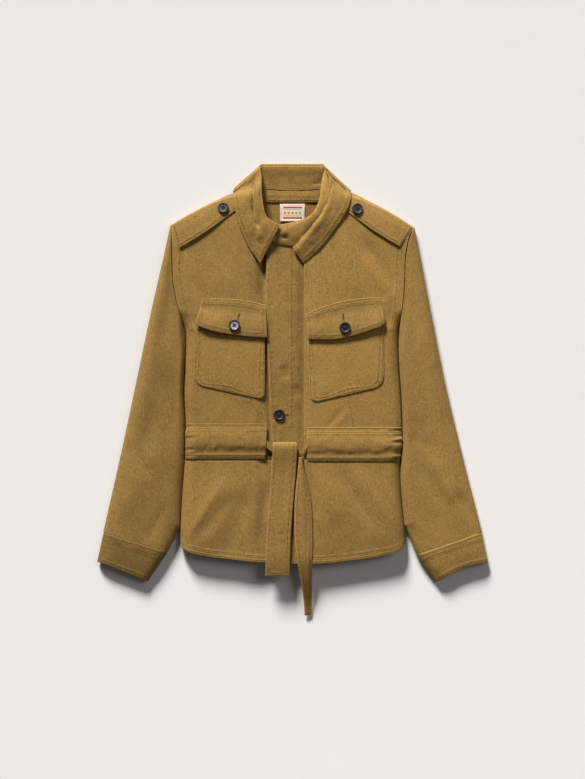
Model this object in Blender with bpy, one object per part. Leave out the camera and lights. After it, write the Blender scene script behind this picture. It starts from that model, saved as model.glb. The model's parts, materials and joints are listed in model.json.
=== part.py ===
"""Utility jacket laid flat on its back, front up, collar towards +Y.

Sizes are in millimetres. X runs to the wearer's left, Y from the hem (0) up to the collar, and Z up from the
surface that the jacket lies on. Every cut piece is a cloth wall of its own, worked out from its sections.
"""

import math

import bpy
import numpy as np

MM = 0.001

# Cloth walls
CLOTH = 1.6
COLLAR_CLOTH = 1.8
CUFF_CLOTH = 2.0
POCKET_CLOTH = 1.2
FLAP_CLOTH = 1.8
STRAP_CLOTH = 1.9
CASING_CLOTH = 1.3
BELT_CLOTH = 2.2
SEAM_GAP = 0.3
SLEEVE_GAP = 1.9
LAY_GAP = 0.5

# Body
SHOULDER_X = 212.0
SHOULDER_Y = 588.0
NECK_X = 78.0
NECK_Y = 658.0
UNDERARM_Y = 405.0
WAIST_Y = 180.0
FOLD_Z = 8.5
SIDE_ROLL = 20.0
SHOULDER_ROLL = 30.0
BACK_ROLL = 10.0
NECK_RAISE = 2.5
ARMHOLE_SOFT = 45.0
ARMHOLE_SHARE = 0.8
CROWN = 2.5
FRONT_EDGE_X = -28.0
PLACKET_LEFT_X = 20.0
NECK_DROP_Y = 556.0

# Collar
COLLAR_TOP_Y = 698.0
BACK_SEAM_Y = 651.0
COLLAR_CORNER_Y = 694.0

# Belt
BELT_WIDTH = 41.0
BELT_TIP_Y = -93.0

# Buttons
BUTTON_RADIUS = 9.8
BUTTON_HEIGHT = 3.2

# The frame's origin is under the middle of the whole jacket, belt end to collar
FRAME_Y = (COLLAR_TOP_Y + BELT_TIP_Y) / 2

# Outline of the body: distance of the side edge and the armhole seam from the centre line
#     y, wearer's right, wearer's left
BODY_EDGE = [
    (15, 196.5, 199.0),
    (60, 195.8, 196.0),
    (105, 194.0, 191.0),
    (142, 191.5, 188.5),
    (180, 188.5, 188.5),
    (205, 186.8, 191.0),
    (240, 187.2, 192.0),
    (300, 190.0, 189.5),
    (350, 188.0, 186.0),
    (405, 187.0, 185.0),
    (448, 200.4, 191.6),
    (485, 207.8, 195.0),
    (540, 210.5, 197.6),
    (568, 211.3, 203.0),
    (588, 212.0, 212.0),
]

# Hem line of the fronts:  distance from the centre line, y on the right, y on the left
HEM = [
    (0, -1.0, -1.5),
    (48, 0.5, -1.2),
    (115, 7.0, 6.0),
    (160, 13.5, 13.5),
    (188, 22.0, 22.5),
    (199, 30.0, 34.0),
]

# Front neckline:  y, right edge of the neck hole, left edge of the neck hole
NECKLINE = [
    (NECK_DROP_Y, -28.0, 20.0),
    (575, -46.0, 34.0),
    (598, -59.0, 52.0),
    (628, -69.0, 67.0),
    (NECK_Y, -NECK_X, NECK_X),
]

# Height of the front over the surface:  y, height
LOFT = [
    (-95, 20.0),
    (0, 21.0),
    (70, 23.0),
    (180, 21.0),
    (260, 23.0),
    (360, 26.0),
    (460, 26.0),
    (540, 24.0),
    (600, 23.0),
    (700, 20.0),
]

# Sleeve outline:  y, right outer edge, left outer edge
SLEEVE_EDGE = [
    (588, 212.0, 212.0),
    (460, 242.4, 237.1),
    (320, 272.1, 265.1),
    (180, 301.9, 298.4),
    (54, 330.5, 330.3),
    (-5, 343.5, 343.5),
]

# Inner edge of the sleeve where it leaves the body's side:  y, right, left
SLEEVE_INSIDE = [
    (-34, 254.0, 253.0),
    (17, 219.5, 216.5),
    (35, 209.5, 209.0),
    (62, 197.4, 198.6),
]

# Loft of the sleeve:  share of its length from armhole to cuff, height
SLEEVE_LOFT = [(0, 24.0), (0.15, 25.0), (0.45, 23.0), (0.75, 21.0), (1.0, 19.0)]

# Cuffs:  y at the outer seam, y at the inner seam, y at the outer mouth, y at the inner mouth, bow
CUFFS = {
    "right": (53.0, 19.0, 2.0, -33.0, 1.0),
    "left": (54.0, 14.0, 1.0, -34.0, 7.0),
}

# Soft folds of the fronts:  x0, y0, x1, y1, half width, height (troughs are negative)
FRONT_FOLDS = [
    (60, 622, 128, 468, 26, 2.8),
    (118, 560, 168, 448, 22, -2.2),
    (-88, 610, -112, 470, 28, 2.2),
    (-165, 560, -150, 430, 24, -1.6),
    (-160, 20, -108, 150, 24, 2.4),
    (-122, 8, -78, 120, 20, -1.8),
    (62, 2, 74, 140, 22, 1.6),
    (168, 24, 102, 158, 24, 2.4),
]

# Soft folds of the sleeves:  as above
SLEEVE_FOLDS = [
    (-222, 520, -236, 380, 20, -2.0),
    (-246, 440, -268, 250, 22, 1.6),
    (-215, 330, -262, 196, 20, -1.6),
    (-232, 200, -292, 92, 22, 1.8),
    (214, 540, 228, 400, 20, -1.8),
    (246, 400, 262, 250, 22, 1.6),
    (214, 250, 250, 130, 20, -1.6),
    (248, 190, 304, 70, 20, 2.0),
]

# Collar stand, section by section from its right end, under the other, round the back to its left end.
#     hole-side x, y, z and seam-side x, y, z
STAND_FRONT_RIGHT = [
    (-24, 582, 27.2, -35.5, 562.5, 25.8),
    (-38, 592, 28.4, -52, 574, 26.8),
    (-50, 609, 29.6, -63.5, 592, 28.6),
    (-56.5, 630, 28.4, -67.2, 618, 28.0),
    (-59.0, 650, 22.4, -70.5, 642, 22.0),
    (-60.5, 668, 13.6, -70, 660, 12.8),
    (-61.5, 681, 8.6, -68, 670, 8.0),
]
STAND_FRONT_LEFT = [
    (55.4, 687, 9.8, 66, 673, 8.6),
    (53, 676, 16.0, 70.0, 663, 13.4),
    (49.5, 657, 25.0, 70.0, 645, 21.6),
    (45.5, 632, 30.4, 62.5, 623, 27.2),
    (36, 613, 32.0, 50, 600, 28.8),
    (21, 601.5, 32.6, 28, 576, 29.0),
    (1, 595.5, 32.4, 11, 555.5, 29.2),
    (-24, 590, 32.0, -32, 557.5, 29.0),
]
STAND_FOLD_Z = 7.0
STAND_BACK_Z = 5.2
STAND_CROWN = 2.6

# Collar leaf, section by section from its front edge up to the fold over the shoulder.
#     neck edge x, y, height; crease x, y, lift over the front; outer edge x, y, lift over the front
LEAF_FRONT_RIGHT = [
    (-22.0, 588.5, 37.4, -36, 563, 10.4, -56.5, 523.6, 4.8),
    (-32.0, 595.0, 37.8, -46, 571, 10.6, -66.0, 537.0, 4.8),
    (-41.5, 600.0, 37.4, -55, 579, 10.2, -77.0, 554.0, 4.8),
    (-47.0, 607.0, 36.6, -62, 589, 8.6, -88.0, 578.0, 5.0),
    (-50.8, 622.0, 35.0, -67, 606, 7.6, -96.0, 602.0, 5.6),
    (-53.2, 640.0, 31.6, -69, 626, 7.2, -101.0, 626.0, 6.0),
    (-54.0, 657.0, 27.0, -70, 645, 6.8, -103.4, 641.0, 6.2),
    (-54.8, 674.0, 20.4, -70, 663, 6.6, -103.6, 648.0, 6.2),
]
LEAF_FRONT_LEFT = [
    (63.5, 677.0, 19.4, 74, 668, 6.6, 102.8, 642.0, 6.2),
    (64.5, 662.0, 25.2, 75, 653, 7.0, 101.2, 633.0, 6.2),
    (61.5, 645.0, 30.2, 71, 637, 7.4, 96.0, 619.0, 5.8),
    (55.5, 628.0, 33.0, 66, 619, 7.8, 88.0, 604.5, 5.4),
    (45.0, 605.5, 34.4, 56, 597, 8.2, 74.5, 585.0, 5.0),
    (30.0, 587.0, 33.4, 41, 577, 8.2, 58.0, 562.0, 4.8),
    (18.0, 571.0, 33.4, 28, 560, 8.0, 42.0, 545.0, 4.8),
    (9.0, 558.5, 33.2, 17, 546, 7.6, 28.5, 532.0, 4.8),
    (0.5, 551.0, 33.0, 8, 539, 7.2, 18.7, 523.6, 4.8),
]
LEAF_CORNER = {"right": (-56.5, 695.5, -103.4, 655.7), "left": (55.0, 695.5, 102.6, 651.0)}
LEAF_NECK_TURN = {
    "right": [(-55.6, 686.5, 14.4), (-56.8, 689.9, 14.0)],
    "left": [(57.0, 688.0, 12.8), (57.6, 690.0, 12.6)],
}
LEAF_FOLD_Z = 6.5
LEAF_BACK_Y = 632.0
LEAF_CROWN = 1.2

# Patch pockets:  corner x, y and the corner's rounding, from the upper outer corner round by the bottom
POCKETS = {
    "right": [(-167.5, 420.0, 3), (-173.0, 312.0, 20), (-49.0, 285.0, 14), (-48.5, 402.0, 3)],
    "left": [(158.5, 420.0, 3), (159.5, 309.0, 20), (30.5, 279.0, 18), (27.0, 397.0, 3)],
}

# Pocket flaps, column by column from the outer end:  x and y at the sewn top, x and y at the free edge, lift
FLAPS = {
    "right": [
        (-157.5, 460.5, -168.5, 417.0, 3.6),
        (-147.0, 461.0, -160.0, 412.5, 3.8),
        (-120.0, 461.0, -130.0, 403.5, 3.0),
        (-95.0, 459.5, -100.0, 398.5, 1.6),
        (-70.0, 455.5, -72.0, 395.5, 0.9),
        (-47.0, 450.5, -44.5, 394.0, 0.6),
    ],
    "left": [
        (22.5, 433.5, 26.5, 391.5, 0.8),
        (45.0, 444.0, 50.0, 390.5, 0.9),
        (70.0, 452.0, 77.0, 391.5, 1.2),
        (98.0, 458.5, 106.0, 397.5, 2.0),
        (128.0, 462.0, 138.0, 408.0, 3.4),
        (148.0, 463.5, 156.0, 415.5, 3.8),
        (152.5, 463.5, 160.5, 420.0, 3.4),
    ],
}

# Shoulder straps:  corner x, y: outer top, outer bottom, inner bottom, inner top; lift of the free edge
STRAPS = {
    "right": [(-209.5, 586.2), (-196.5, 550.5), (-94.0, 620.0), (-101.5, 640.5)],
    "left": [(209.5, 586.2), (186.5, 553.0), (89.0, 619.0), (97.5, 641.0)],
}

# Tunnel round the waist for the belt:  y of the top and of the seam, x of the end at the front
CASINGS = {"right": (242.5, 181.5, -44.5, -48.0), "left": (236.5, 177.5, 25.5, 25.5)}

# Buttons:  name, x, y, height of what it is sewn on above the front
BUTTONS = [
    ("button_strap_right", -120.6, 622.6, 3.0),
    ("button_strap_left", 113.0, 621.4, 3.0),
    ("button_pocket_right", -101.2, 415.0, 8.2),
    ("button_pocket_left", 91.4, 411.0, 8.1),
    ("button_front", -23.2, 259.0, 1.2),
]


# Curves and heights


def smooth_through(rows, at):
    """Values at one place, or at many, on a smooth curve through rows of (place, value, ...)."""
    rows = np.asarray(rows, float)
    rows = rows[np.argsort(rows[:, 0])]
    place, values = rows[:, 0], rows[:, 1:]
    slopes = np.gradient(values, place, axis=0)
    at = np.clip(np.asarray(at, float), place[0], place[-1])
    left = np.clip(np.searchsorted(place, at, side="right") - 1, 0, len(place) - 2)
    step = place[left + 1] - place[left]
    s = ((at - place[left]) / step)[..., None]
    step = step[..., None]
    return (
        (2 * s**3 - 3 * s**2 + 1) * values[left]
        + (s**3 - 2 * s**2 + s) * step * slopes[left]
        + (3 * s**2 - 2 * s**3) * values[left + 1]
        + (s**3 - s**2) * step * slopes[left + 1]
    )


def ease(value, start, end):
    """0 before start, 1 after end, and smooth between."""
    t = np.clip((value - start) / (end - start), 0, 1)
    return t * t * (3 - 2 * t)


def roll(distance, radius):
    """0 on a fold and 1 a radius inside it, upright where it leaves the fold."""
    t = np.clip(distance / radius, 0, 1)
    return np.sqrt(1 - (1 - t) ** 2)


def folds(table, x, y):
    """Height that the soft ridges and troughs of a table add at a place."""
    total = 0.0 * x
    for x0, y0, x1, y1, width, height in table:
        long = math.hypot(x1 - x0, y1 - y0)
        along = ((x - x0) * (x1 - x0) + (y - y0) * (y1 - y0)) / long**2
        across = ((x - x0) * (y1 - y0) - (y - y0) * (x1 - x0)) / long
        ends = np.exp(-((np.maximum(np.abs(along - 0.5) - 0.3, 0) / 0.2) ** 2))
        total = total + height * ends * np.exp(-((across / width) ** 2))
    return total


def body_edge(y, side):
    """Distance of the body's side edge or armhole seam from the centre line."""
    return smooth_through(BODY_EDGE, y)[..., 0 if side == "right" else 1]


def either_edge(x, y):
    return np.where(x < 0, body_edge(y, "right"), body_edge(y, "left"))


def shoulder_distance(x, y):
    """How far a place lies inside the fold along the shoulder."""
    rise = (NECK_Y - SHOULDER_Y) / (SHOULDER_X - NECK_X)
    line = SHOULDER_Y + (SHOULDER_X - np.abs(x)) * rise
    return (line - y) / math.hypot(1, rise)


def front_height(x, y, rolled=True):
    """Height of the outer face of the front panels."""
    x, y = np.asarray(x, float), np.asarray(y, float)
    loft = smooth_through(LOFT, y)[..., 0] + CROWN * (1 - (x / 190) ** 2)
    loft = loft + folds(FRONT_FOLDS, x, y)
    inside = np.maximum(either_edge(x, y) - np.abs(x), 0)
    armhole = ease(y, UNDERARM_Y, UNDERARM_Y + 38)
    share = ARMHOLE_SHARE * armhole
    soft = np.sin(np.clip(inside / ARMHOLE_SOFT, 0, 1) * math.pi / 2)
    edge = share + (1 - share) * ((1 - armhole) * roll(inside, SIDE_ROLL) + armhole * soft)
    edge = edge * roll(np.maximum(shoulder_distance(x, y), 0), SHOULDER_ROLL)
    return FOLD_Z + (loft - FOLD_Z) * (edge if rolled else 1)


def back_height(x, y):
    """Height of the outer, under face of the back panels: flat on the surface, rolling up at its edges, and
    raised at the neck by the collar leaf that lies under it."""
    inside = np.maximum(either_edge(x, y) - np.abs(x), 0)
    armhole = ease(y, UNDERARM_Y, UNDERARM_Y + 30)
    edge = armhole + (1 - armhole) * roll(inside, BACK_ROLL)
    edge = edge * roll(np.maximum(shoulder_distance(x, y), 0), BACK_ROLL)
    over_leaf = NECK_RAISE * ease(y, 596, 622) * (1 - ease(np.abs(x), 118, 150))
    return over_leaf + (FOLD_Z - over_leaf) * (1 - edge)


def on_front(x, y, lift=0.0, surface=front_height):
    """Points a lift above the front's face, along its normal."""
    x, y = np.broadcast_arrays(np.asarray(x, float), np.asarray(y, float))
    reach = 0.6
    slope_x = (surface(x + reach, y) - surface(x - reach, y)) / (2 * reach)
    slope_y = (surface(x, y + reach) - surface(x, y - reach)) / (2 * reach)
    normal = np.stack([-slope_x, -slope_y, np.ones_like(x)], -1)
    normal /= np.linalg.norm(normal, axis=-1, keepdims=True)
    base = np.stack([x, y, surface(x, y)], -1)
    return base + normal * np.asarray(lift, float)[..., None]


# Solids from grids of points


def normals_of(grid, closed, folded):
    """Unit normals of a grid of points. A folded edge is the line where the piece turns to its other side."""
    padded = np.pad(grid, ((1, 1), (1, 1), (0, 0)), mode="edge")
    if closed:
        padded[1:-1, 0], padded[1:-1, -1] = grid[:, -1], grid[:, 0]
    mirror = np.array([1, 1, -1.0])
    level = np.array([0, 0, 2.0])
    if "first column" in folded:
        padded[1:-1, 0] = grid[:, 1] * mirror + grid[:, 0] * level
    if "last column" in folded:
        padded[1:-1, -1] = grid[:, -2] * mirror + grid[:, -1] * level
    if "last row" in folded:
        padded[-1, 1:-1] = grid[-2] * mirror + grid[-1] * level
    across = padded[1:-1, 2:] - padded[1:-1, :-2]
    along = padded[2:, 1:-1] - padded[:-2, 1:-1]
    normal = np.cross(across, along)
    size = np.linalg.norm(normal, axis=-1)
    for row, column in zip(*np.nonzero(size < 1e-6)):
        beside = normal[min(row, grid.shape[0] - 2), column], normal[row, 1 if column == 0 else column - 1]
        normal[row, column] = sum(n / max(np.linalg.norm(n), 1e-6) for n in beside)
        size[row, column] = np.linalg.norm(normal[row, column])
    return normal / size[..., None]


def wall(name, grid, thickness, material, closed=False, folded=(), flip=False):
    """A closed cloth wall: the grid is its outer face, and the cloth lies a thickness inside it."""
    grid = np.asarray(grid, float)
    rows, columns = grid.shape[:2]
    normal = normals_of(grid, closed, folded) * (-1 if flip else 1)
    inner = grid - normal * np.broadcast_to(thickness, grid.shape[:2])[..., None]
    points = np.concatenate([grid.reshape(-1, 3), inner.reshape(-1, 3)])
    count = rows * columns

    def at(row, column):
        return row * columns + column % columns

    faces = []
    last = columns if closed else columns - 1
    for row in range(rows - 1):
        for column in range(last):
            a, b = at(row, column), at(row, column + 1)
            c, d = at(row + 1, column + 1), at(row + 1, column)
            faces.append((a, b, c, d))
            faces.append((d + count, c + count, b + count, a + count))
    for column in range(last):
        a, b = at(0, column), at(0, column + 1)
        faces.append((a, a + count, b + count, b))
        a, b = at(rows - 1, column), at(rows - 1, column + 1)
        faces.append((a, b, b + count, a + count))
    if not closed:
        for row in range(rows - 1):
            a, b = at(row, 0), at(row + 1, 0)
            faces.append((a, b, b + count, a + count))
            a, b = at(row, columns - 1), at(row + 1, columns - 1)
            faces.append((a, a + count, b + count, b))
    if flip:
        faces = [face[::-1] for face in faces]
    return solid(name, points, faces, material)


def solid(name, points, faces, material):
    """An object in the jacket's frame, in metres, from points in millimetres."""
    mesh = bpy.data.meshes.new(name)
    points = (np.asarray(points, float) - np.array([0, FRAME_Y, 0])) * MM
    mesh.from_pydata(points.tolist(), [], [list(map(int, face)) for face in faces])
    mesh.validate()
    mesh.shade_smooth()
    mesh.set_sharp_from_angle(angle=math.radians(50))
    mesh.materials.append(material)
    made = bpy.data.objects.new(name, mesh)
    bpy.context.scene.collection.objects.link(made)
    return made


def material_of(name, colour, roughness):
    made = bpy.data.materials.new(name)
    made.use_nodes = True
    shader = made.node_tree.nodes["Principled BSDF"]
    shader.inputs["Base Color"].default_value = (*colour, 1)
    shader.inputs["Roughness"].default_value = roughness
    shader.inputs["Metallic"].default_value = 0.0
    return made


# Body


def spread(start, end, distances, count):
    """Points from start to end: some at set distances from the start, then count even steps."""
    start, end = np.asarray(start, float), np.asarray(end, float)
    long = np.linalg.norm(end - start)
    first = np.asarray(distances) / long
    share = np.concatenate([first, np.linspace(first[-1], 1, count + 1)[1:]])
    return start + share[:, None] * (end - start)


EDGE_STEPS = (0, 0.8, 3.2, 8, 14, 22)
SHOULDER_STEPS = (26, 17, 10, 4.5, 1.2, 0)


def signed(side):
    return -1 if side == "right" else 1


def inner_edge(y, side):
    """The front edge, and above it the neckline."""
    column = 0 if side == "right" else 1
    start = FRONT_EDGE_X if side == "right" else PLACKET_LEFT_X
    return np.where(y < NECK_DROP_Y, start, smooth_through(NECKLINE, y)[..., column])


def front_face(x, y, side):
    """Face of a front panel: the right one dips under the placket, the left one stands a little over it."""
    height = front_height(x, y)
    if side == "right":
        return height - (2.8 + 2.6 * ease(y, 470, 545)) * ease(x, -66, -46)
    return height + 1.0 * (1 - ease(x, PLACKET_LEFT_X, PLACKET_LEFT_X + 18))


def cover_height(x, y):
    """Face that the pockets and flaps lie on: the fronts, raised beside the placket."""
    return front_height(x, y) + 1.0 * (1 - ease(np.abs(x), PLACKET_LEFT_X, PLACKET_LEFT_X + 18))


def on_cover(x, y, lift):
    """Points a lift above the face that the pockets and flaps lie on."""
    return on_front(x, y, lift, cover_height)


def front_bodice(side, material):
    """Front panel from the waist seam to the shoulder, its rows turning from level to the shoulder's slope."""
    lower = np.linspace(WAIST_Y + SEAM_GAP, SHOULDER_Y - 34, 15)
    rows = np.concatenate([lower, SHOULDER_Y - np.array(SHOULDER_STEPS)])
    grid = []
    for y in rows:
        y_inner = y + (NECK_Y - SHOULDER_Y) * ease(y, 360, SHOULDER_Y)
        outer = (signed(side) * float(body_edge(y, side)), y)
        plan = spread(outer, (float(inner_edge(y_inner, side)), y_inner), EDGE_STEPS, 9)
        height = front_face(plan[:, 0], plan[:, 1], side)
        grid.append(np.column_stack([plan, height + SEAM_GAP / 2]))
    flip = side == "left"
    folded = ("first column", "last row")
    return wall(f"front_{side}", grid, CLOTH, material, folded=folded, flip=flip)


def peplum_face(x, y, side):
    """Face of a peplum front: its front edge stands over the placket, more so towards the hem."""
    height = front_face(x, y, side)
    if side == "left":
        height = height + 2.2 * ease(-y, -160, 0) * (1 - ease(x, 30, 70))
    return height


def peplum_front(side, material):
    """Skirt of the jacket below the waist seam, down to the curved hem."""
    grid = []
    column = 0 if side == "right" else 1
    for share in np.linspace(0, 1, 9):
        y_outer = float(smooth_through(HEM, 199)[column])
        y_outer = y_outer + share * (WAIST_Y - SEAM_GAP - y_outer)
        start = FRONT_EDGE_X if side == "right" else PLACKET_LEFT_X + 16 * (1 - share)
        outer = signed(side) * float(body_edge(y_outer, side))
        x = spread((outer, 0), (start, 0), EDGE_STEPS, 8)[:, 0]
        hem = smooth_through(HEM, np.abs(x))[:, column]
        y = hem + share * (WAIST_Y - SEAM_GAP - hem)
        height = peplum_face(x, y, side)
        grid.append(np.column_stack([x, y, height + SEAM_GAP / 2]))
    flip = side == "left"
    return wall(f"peplum_{side}", grid, CLOTH, material, folded=("first column",), flip=flip)


def back_panel(name, rows, material, folded=()):
    """A back panel from (y at the sides, y at the middle) rows: flat below, rolled up to the side seams."""
    steps = np.array([0, 0.8, 3.0, 6.5, 10.5])
    grid = []
    for y_side, y_middle, dip in rows:
        right, left = float(body_edge(y_side, "right")), float(body_edge(y_side, "left"))
        middle = np.linspace(-right + 30, left - 30, 9)
        x = np.concatenate([-right + steps, middle, left - steps[::-1]])
        line = np.interp(np.abs(x), [0, NECK_X, SHOULDER_X], [y_middle, y_middle, y_side])
        line = line - dip * np.maximum(1 - (x / NECK_X) ** 2, 0)
        grid.append(np.column_stack([x, line, np.maximum(back_height(x, line) - SEAM_GAP / 2, 0)]))
    folded = ("first column", "last column", *folded)
    return wall(name, grid, CLOTH, material, folded=folded, flip=True)


def back_bodice(material):
    rows = []
    for y in np.concatenate([np.linspace(WAIST_Y + SEAM_GAP, 556, 9), [572, 579, 584, 587, SHOULDER_Y]]):
        turned = ease(y, 330, SHOULDER_Y)
        rise = (NECK_Y - SHOULDER_Y) * turned
        rows.append((y, y + rise, (NECK_Y - BACK_SEAM_Y) * ease(turned, 0.9, 1)))
    return back_panel("back_bodice", rows, material, folded=("last row",))


def back_peplum(material):
    """Back of the skirt, its hem a little short of the fronts'."""
    steps = np.array([0, 0.8, 3.0, 6.5, 10.5])
    grid = []
    for share in np.linspace(0, 1, 6):
        y_side = 38.0 + share * (WAIST_Y - SEAM_GAP - 38.0)
        right, left = float(body_edge(y_side, "right")), float(body_edge(y_side, "left"))
        middle = np.linspace(-right + 30, left - 30, 9)
        x = np.concatenate([-right + steps, middle, left - steps[::-1]])
        hem = np.where(x < 0, *np.moveaxis(smooth_through(HEM, np.abs(x)), -1, 0)) + 4.0
        y = hem + share * (WAIST_Y - SEAM_GAP - hem)
        grid.append(np.column_stack([x, y, np.maximum(back_height(x, y) - SEAM_GAP / 2, 0)]))
    return wall("back_peplum", grid, CLOTH, material, folded=("first column", "last column"), flip=True)


def placket(material):
    """Button placket from the neck seam to the hem. Its right edge lies on the right front, and its left
    edge sinks under the left front."""
    grid = []
    for y in np.concatenate([np.linspace(-1.5, 170, 7), np.linspace(198, 559, 13)]):
        right = float(np.interp(y, [-2, 210, 260, 380, 440, 560], [-43, -35, -38, -43.5, -47, -45]))
        left = float(np.interp(y, [-2, 180, 560], [42, 27, 27]))
        x = np.array([right, right + 3, -14, 0, 10, 18, left])
        sink = 2.6 * ease(x, 6, 19)
        height = front_height(x, np.full_like(x, y)) + 0.7 - sink
        grid.append(np.column_stack([x, np.full_like(x, y), height]))
    return wall("placket", grid, CLOTH, material)


# Sleeves


RING_TOP = np.array([0, 0.012, 0.045, 0.1, 0.18, 0.3, 0.43, 0.57, 0.7, 0.82, 0.9, 0.955, 0.988, 1])
RING_UNDER = np.array([0.98, 0.94, 0.86, 0.7, 0.5, 0.3, 0.13, 0.06, 0.02])


def sleeve_plan(side, share, across, gap=0.8):
    """Plan points across the sleeve, from its outer edge to its inner edge, a share of the way to the cuff."""
    column = 0 if side == "right" else 1
    seam_outer, seam_inner = CUFFS[side][:2]
    y_outer = SHOULDER_Y + share * (seam_outer - SHOULDER_Y)
    y_inner = UNDERARM_Y + share * (seam_inner - UNDERARM_Y)
    x_outer = smooth_through(SLEEVE_EDGE, y_outer)[column] + gap
    along_body = float(body_edge(max(y_inner, 62.0), side)) + SLEEVE_GAP
    x_inner = along_body if y_inner > 62 else float(smooth_through(SLEEVE_INSIDE, y_inner)[column])
    y = y_outer + across * (y_inner - y_outer)
    x = x_outer + across * (x_inner - x_outer)
    y_seam = SHOULDER_Y + across * (UNDERARM_Y - SHOULDER_Y)
    first_outer = smooth_through(SLEEVE_EDGE, SHOULDER_Y)[column]
    first_inner = float(body_edge(UNDERARM_Y, side)) + SLEEVE_GAP
    straight = first_outer + across * (first_inner - first_outer)
    bow = body_edge(y_seam, side) + gap - straight
    bow = bow + (SLEEVE_GAP - gap) * ease(across, 0.55, 0.9)
    x = x + bow * (1 - ease(share, 0, 0.22))
    return signed(side) * x, y


def sleeve_height(side, share, across, x, y):
    """Height of the sleeve's upper face: the front's own height at the armhole, then its own loft."""
    long = math.hypot(x[-1] - x[0], y[-1] - y[0])
    loft = smooth_through(SLEEVE_LOFT, share)[0] + folds(SLEEVE_FOLDS, x, y)
    rounding = roll(across * long, 34) * roll((1 - across) * long, 24)
    free = FOLD_Z + (loft - FOLD_Z) * rounding
    column = 0 if side == "right" else 1
    y_seam = SHOULDER_Y + across * (UNDERARM_Y - SHOULDER_Y)
    x_seam = signed(side) * smooth_through(BODY_EDGE, y_seam)[..., column]
    sewn = front_height(x_seam, y_seam)
    return sewn + (free - sewn) * ease(share, 0, 0.16)


def sleeve_under(across, x, y):
    long = math.hypot(x[-1] - x[0], y[-1] - y[0])
    return FOLD_Z * (1 - roll(across * long, 9) * roll((1 - across) * long, 9))


def ring(plan_x, plan_y, top, under):
    """One closed ring of a tube from its upper half and its lower half."""
    upper = np.column_stack([plan_x[: len(top)], plan_y[: len(top)], top])
    lower = np.column_stack([plan_x[len(top) :], plan_y[len(top) :], under])
    return np.concatenate([upper, lower])


def sleeve(side, material):
    """Sleeve from the armhole seam to the cuff seam, one open tube."""
    across = np.concatenate([RING_TOP, RING_UNDER])
    grid = []
    for share in np.concatenate([[0, 0.02, 0.06], np.linspace(0.12, 0.9994, 13)]):
        x, y = sleeve_plan(side, share, across)
        top_x, top_y = x[: len(RING_TOP)], y[: len(RING_TOP)]
        top = sleeve_height(side, share, RING_TOP, top_x, top_y)
        under = sleeve_under(RING_UNDER, top_x[[0, -1]], top_y[[0, -1]])
        grid.append(ring(x, y, top, under))
    return wall(f"sleeve_{side}", grid, CLOTH, material, closed=True, flip=side == "right")


def cuff(side, material):
    """Cuff: a short open tube, a little prouder than the sleeve that it is sewn to."""
    column = 0 if side == "right" else 1
    outer_seam, inner_seam, outer_mouth, inner_mouth, bow = CUFFS[side]
    across = np.concatenate([RING_TOP, RING_UNDER])
    grid = []
    for share in np.linspace(0, 1, 6):
        y_outer = outer_seam - 0.1 + share * (outer_mouth - outer_seam + 0.1)
        y_inner = inner_seam - 0.1 + share * (inner_mouth - inner_seam + 0.1)
        x_outer = float(smooth_through(SLEEVE_EDGE, y_outer)[column])
        x_inner = float(smooth_through(SLEEVE_INSIDE, y_inner)[column])
        x = x_outer + across * (x_inner - x_outer)
        y = y_outer + across * (y_inner - y_outer) + share * bow * np.sin(across * math.pi)
        x = signed(side) * x
        long = math.hypot(x_outer - x_inner, y_outer - y_inner)
        loft = 19.0 + 1.5 * math.sin(math.pi * share) - 1.5 * share
        rounding = roll(RING_TOP * long, 34 - 8 * share) * roll((1 - RING_TOP) * long, 24 - 2 * share)
        top = FOLD_Z + (loft - FOLD_Z) * rounding
        under = FOLD_Z * (1 - roll(RING_UNDER * long, 9) * roll((1 - RING_UNDER) * long, 9))
        grid.append(ring(x, y, top, under))
    return wall(f"cuff_{side}", grid, CUFF_CLOTH, material, closed=True, flip=side == "right")


# Collar


def stand_sections():
    """Sections of the stand's outer face, each from the edge of the neck hole to the seam."""
    sections = [np.reshape(row, (2, 3)).astype(float) for row in STAND_FRONT_RIGHT]
    corner = COLLAR_CORNER_Y - 3.0
    sections.append(np.array([(-57.0, corner - 1.6, STAND_FOLD_Z), (-66.5, 676, STAND_FOLD_Z - 1)]))
    for x in np.linspace(-51, 49.5, 9):
        wide = x * 1.12
        seam = np.array([wide, BACK_SEAM_Y + 0.7 + (NECK_Y - BACK_SEAM_Y) * (wide / NECK_X) ** 2, NECK_RAISE])
        sections.append(np.array([(x, corner + 0.4, STAND_BACK_Z), seam]))
    sections.append(np.array([(55.5, corner, STAND_FOLD_Z), (67.5, 676, STAND_FOLD_Z - 1)]))
    sections += [np.reshape(row, (2, 3)).astype(float) for row in STAND_FRONT_LEFT]
    return sections


def collar_stand(material):
    """Band round the neck. In front it stands up to the neck hole; behind, its inner face looks up."""
    shares = np.array([0, 0.12, 0.38, 0.68, 1])
    fronts = len(STAND_FRONT_RIGHT), len(STAND_FRONT_LEFT)
    sections = stand_sections()
    grid = []
    for index, (hole, seam) in enumerate(sections):
        from_end = min(index, len(sections) - 1 - index)
        in_front = index < fronts[0] or index >= len(sections) - fronts[1]
        crown = STAND_CROWN if in_front else 0.0
        line = hole + shares[:, None] * (seam - hole)
        line[:, 2] += crown * np.sin(np.pi * shares) - (1.4 if in_front and from_end else 0.6) * (shares == 0)
        grid.append(line)
    return wall("collar_stand", grid, COLLAR_CLOTH, material, flip=True)


def leaf_silhouette(x, y, side):
    """Distance of a place inside the line where the leaf turns round the shoulder."""
    x0, y0, x1, y1 = LEAF_CORNER[side]
    long = math.hypot(x1 - x0, y1 - y0)
    across = ((x - x0) * (y1 - y0) - (y - y0) * (x1 - x0)) / long
    return np.maximum(-across if side == "right" else across, 0)


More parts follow.
